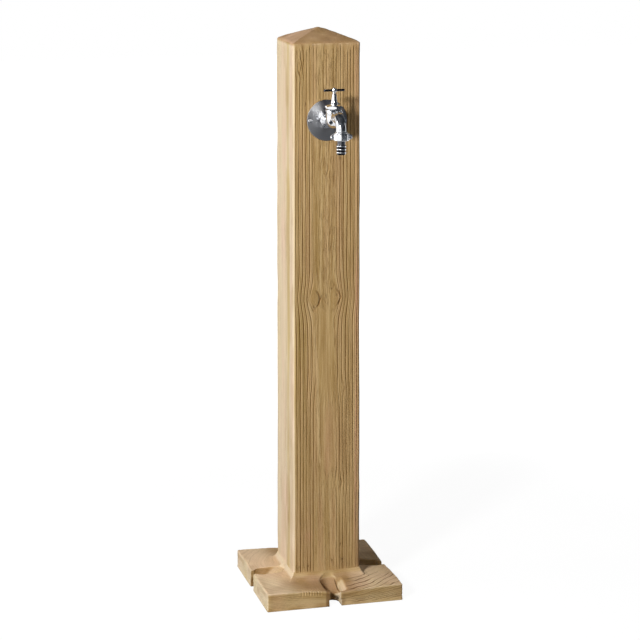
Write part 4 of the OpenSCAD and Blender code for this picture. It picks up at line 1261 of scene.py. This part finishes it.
def chrome_with_painted_reflection(name, bright):
    """Chrome painted dark, a painted reflection of dark surroundings, and bright where BRIGHT says so of x
    and z in millimetres, a painted highlight.
    """
    f = Finish(name, (0.3, 0.3, 0.32), 0.16, 1.0)
    place = f.place()
    x, _, z = f.split(place)
    smear = f.noise(place, 60.0, 2.0)
    level = (bright(f, x * 1000, z * 1000) + 0.12 * smear).clamp()
    f.to("Base Color", f.mix(level, (0.07, 0.07, 0.08), (0.86, 0.87, 0.89)))
    f.to("Roughness", 0.1 + 0.1 * smear)
    f.bump(smear, 0.0003, 0.25)
    return f.material


def barb_crest_highlights(f, x, z):
    """The crests of the hose tail's three barbs, where a painted highlight goes."""
    share = f.maths("FRACT", (z - TAIL_FOOT_H) / BARB_STEP)
    return share.ease(0.5, 0.62) * (1 - share.ease(0.86, 0.95)) * (1 - z.ease(818, 818.6))


def bar_hub_highlight(f, x, z):
    """The hub of the T-bar, without its two arms: a painted highlight; the dark arms are partly a dark
    finish, partly painted reflection.
    """
    return 1 - f.maths("ABSOLUTE", x).ease(3.3, 4.2)


def metal_finish(name, colour, shade, roughness, across=(900, 900, 60), wear=0.3):
    """A drawn or turned metal: fine lines, with patches of a darker shade."""
    f = Finish(name, colour, roughness, 1.0)
    place = f.place()
    lines = f.noise(f.scaled(place, across), 1.0, 3.0, 0.6)
    patch = f.noise(place, 70.0, 3.0, 0.55)
    f.to("Base Color", f.mix(patch.ease(0.4, 0.7) * wear + 0.15 * lines, colour, shade))
    f.to("Roughness", roughness - 0.06 + 0.16 * lines + 0.1 * patch.ease(0.4, 0.7))
    f.bump(lines, 0.00008, 0.5)
    return f.material


def plain_finish(name, colour, shade, roughness, scale=300.0, depth=0.0001):
    """Rubber, fibre, nylon or tape: mottled, with a fine tooth."""
    f = Finish(name, colour, roughness, 0.0, Specular_IOR_Level=0.35)
    place = f.place()
    tooth = f.noise(place, scale * 4, 2.0, 0.6)
    patch = f.noise(place, scale * 0.3, 2.0)
    f.to("Base Color", f.mix(patch.ease(0.35, 0.7) * 0.6, colour, shade))
    f.to("Roughness", roughness - 0.05 + 0.12 * tooth)
    f.bump(tooth, depth, 0.5)
    return f.material


def plate_finish():
    """Brushed round plate: fine rings, with a bright fan, a dark band beside it and a lighter part low on
    the left, painted as highlight and reflection.
    """
    f = Finish("brushed_plate", (0.3, 0.3, 0.31), 0.36, 1.0)
    x, _, z = f.split(f.place())
    dx, dz = x * 1000, (z - TAP_H * MM) * 1000
    r = f.maths("SQRT", dx * dx + dz * dz)
    turn = f.maths("ARCTAN2", dz, dx)
    # Painted highlight and reflection, fixed to the plate: a bright fan up on the left, a dark band beside
    # it, lighter low on the left
    bright, shade, rim = ((0.5 + 0.5 * f.maths("COSINE", turn - math.radians(at))) ** sharp
                          for at, sharp in ((132, 45), (100, 40), (205, 12)))
    rings = f.noise(f.join(r * 9, turn * 0.8, 0.0), 1.0, 3.0, 0.7)
    smear = f.noise(f.join(r * 0.1, turn * 2.0, 4.0), 1.0, 2.0)
    level = (0.2 + 0.9 * bright - 0.3 * shade + 0.12 * rim + 0.08 * rings + 0.08 * smear).clamp()
    f.to("Base Color", f.mix(level, (0.13, 0.13, 0.145), (0.78, 0.78, 0.79)))
    f.to("Roughness", 0.3 + 0.15 * rings)
    f.bump(rings, 0.00006, 0.5)
    return f.material


FINISH = {
    "stone": stone_finish(),
    "chrome": chrome_finish(),
    # Chrome painted dark as a reflection, with painted highlights on the barbs and on the T-bar's hub
    "tail_chrome": chrome_with_painted_reflection("tail_chrome", barb_crest_highlights),
    "bar_chrome": chrome_with_painted_reflection("bar_chrome", bar_hub_highlight),
    "plate": plate_finish(),
    "bright_steel": metal_finish("bright_steel", (0.8, 0.8, 0.8), (0.55, 0.55, 0.57), 0.2),
    "steel": metal_finish("zinc_steel", (0.62, 0.62, 0.63), (0.42, 0.42, 0.44), 0.34),
    "brass": metal_finish("machined_brass", (0.72, 0.52, 0.22), (0.45, 0.31, 0.13), 0.3),
    "copper": metal_finish("drawn_copper", (0.72, 0.36, 0.2), (0.38, 0.2, 0.13), 0.32),
    "rubber": plain_finish("black_rubber", (0.025, 0.025, 0.027), (0.05, 0.05, 0.048), 0.7),
    "nylon": plain_finish("pale_nylon", (0.62, 0.62, 0.58), (0.5, 0.5, 0.46), 0.5),
    "tape": plain_finish("sealing_tape", (0.85, 0.85, 0.84), (0.7, 0.7, 0.7), 0.55, 500.0, 0.0002),
    "fibre": plain_finish("pressed_fibre", (0.055, 0.05, 0.05), (0.03, 0.028, 0.03), 0.75),
}
SLOT_OF = {row["node"]: row["material_slot"] for row in frame["record"]["subparts"]}


def finish_piece(piece, finish, body, *replaced):
    """Gives a piece its finish and its body, and hides the nodes it stands for."""
    piece.data.materials.clear()
    piece.data.materials.append(FINISH[finish])
    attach(piece, body)
    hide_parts(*replaced)


for part in build_post():
    finish_piece(part, "stone", "post", "post_casting")

for build, finish, body, node in (
        (build_tap_body, "chrome", "post", "tap_body"),
        (build_bonnet, "chrome", "post", "bonnet"),
        (build_gland_nut, "chrome", "post", "gland_nut"),
        (build_tee, "bar_chrome", "handle", "tee_handle"),
        (build_handle_screw, "chrome", "handle", "handle_screw"),
        (build_union_nut, "chrome", "nut", "union_nut"),
        (build_hose_tail, "tail_chrome", "tail", "hose_tail"),
        (build_cover_plate, "plate", "post", "cover_plate"),
        (build_cover_screws, "bright_steel", "post", "cover_screws")):
    finish_piece(build(), finish, body, node)

for name, node in nodes.items():
    if node.hide_render:
        continue
    node.data.materials.clear()
    node.data.materials.append(FINISH[SLOT_OF[name]])


# Room, light and camera

WORLD_LEVEL = 0.07
SCREEN_R = 4600
SCREEN_TOP = 3400
CEILING_H = 2400
# Dark screens round the object: their start and end, in degrees from the front to the right, and shade
SCREENS = [(-12, 90, 0.03), (104, 150, 0.1)]
# Dark cloths on the floor: inner and outer radius, start in degrees, and shade
CLOTHS = {"near_cloth": (480, 1500, -110, 0.05), "far_cloth": (1500, SCREEN_R, -12, 0.2)}


def build_floor():
    """Pale floor that looks white to the camera and in metal, and keeps part of the object's shadow."""
    size = 9000
    corners = [(-size, -size, -0.3), (size, -size, -0.3), (size, size, -0.3), (-size, size, -0.3)]
    floor = mesh_object("floor", corners, [(0, 1, 2, 3)])
    f = Finish("pale_floor", (0.35, 0.35, 0.35), 0.9)
    x, y, _ = f.split(f.place())
    far = (x * x + y * y).ease(0.4, 2.5)
    glow = f.node("ShaderNodeEmission", {}, {"Strength": 1.24})
    both = f.mix_shaders(f.seen() * (0.76 + 0.24 * far), Signal(f, f.shader.outputs[0]), glow)
    f.set(f.tree.nodes["Material Output"].inputs["Surface"], both)
    floor.data.materials.append(f.material)


def build_room():
    """A room that looks white, and gives only a weak light of its own."""
    scene.world = bpy.data.worlds.new("white_room")
    scene.world.use_nodes = True
    room = Kit(scene.world.node_tree)
    room.tree.nodes.clear()
    soft, white = (room.node("ShaderNodeBackground", {}, {"Color": (1, 1, 1), "Strength": level})
                   for level in (WORLD_LEVEL, 1.0))
    room.node("ShaderNodeOutputWorld", {}, {"Surface": room.mix_shaders(room.seen(), soft, white)})


def strip(name, ends, start, end, shade):
    """A curved screen or cloth between two (radius, height) ends, from one turn in degrees to another."""
    steps = 16
    turns = [math.radians(start + (end - start) * i / steps) for i in range(steps + 1)]
    verts = [(r * math.sin(t), -r * math.cos(t), z) for r, z in ends for t in turns]
    stand(mesh_object(name, verts, [(i, i + 1, steps + 2 + i, steps + 1 + i) for i in range(steps)]), shade)


def build_screens():
    """Dark screens, cloths and ceiling, seen only in metal, as a photographer sets them round chrome."""
    for number, (start, end, shade) in enumerate(SCREENS):
        strip(f"screen_{number}", ((SCREEN_R, 60), (SCREEN_R, SCREEN_TOP)), start, end, shade)
    for name, (inner, outer, start, shade) in CLOTHS.items():
        strip(name, ((inner, 2), (outer, 2)), start, 90, shade)
    turns = [2 * math.pi * i / 40 for i in range(40)]
    ceiling = [(SCREEN_R * math.cos(t), SCREEN_R * math.sin(t), CEILING_H) for t in turns]
    stand(mesh_object("ceiling", ceiling, [tuple(range(39, -1, -1))]), 0.05)


def stand(screen, shade):
    """Makes a screen dark to metal, with a faint glow of its own, and clear to the camera and the lamps."""
    f = Finish(screen.name, (0, 0, 0), 1.0, Specular_IOR_Level=0.0, Emission_Strength=1.0)
    cloud = f.noise(f.place(), 0.7, 1.0)
    low, high = (tuple(shade * v for v in tint) for tint in ((0.4, 0.45, 0.5), (1.7, 1.9, 2.2)))
    f.to("Emission Color", f.mix(cloud.ease(0.35, 0.65), low, high))
    screen.data.materials.append(f.material)
    screen.visible_camera = screen.visible_diffuse = False
    screen.visible_shadow = screen.visible_transmission = False


def lamp(name, place, aim, size, power):
    """A rectangular lamp turned to a point, in metres and watts."""
    data = bpy.data.lights.new(name, "AREA")
    data.shape = "RECTANGLE"
    data.size, data.size_y = size
    data.energy = power
    light = add_object(name, data)
    light.location = place
    light.rotation_euler = (Vector(aim) - Vector(place)).to_track_quat("-Z", "Y").to_euler()
    return light


build_floor()
build_room()
build_screens()
lamp("key", (-2.3, -2.5, 2.05), (0, -0.06, 0.6), (0.45, 0.45), 136)
lamp("top_box", (-0.7, -0.7, 3.6), (0, 0, 0), (1.6, 1.6), 18)
lamp("left_box", (-3.0, 0.4, 1.2), (0, 0, 0.55), (1.2, 2.2), 27)
# Low and behind, so that it lights only the two faces that the key lamp leaves dark
lamp("back_box", (1.6, 2.8, 0.3), (0, 0, 0.5), (1.4, 0.5), 40).visible_glossy = False

# Fitted to the corners of roof, shaft and base in the photo
camera_data = bpy.data.cameras.new("camera")
camera_data.sensor_width = 36
camera_data.lens = 117.657
camera = add_object("camera", camera_data)
camera.location = (-0.90323, -3.46072, 1.32066)
camera.rotation_euler = (math.pi / 2 - 0.2288, 0, -0.25625)
scene.camera = camera
scene.view_settings.view_transform = "Standard"
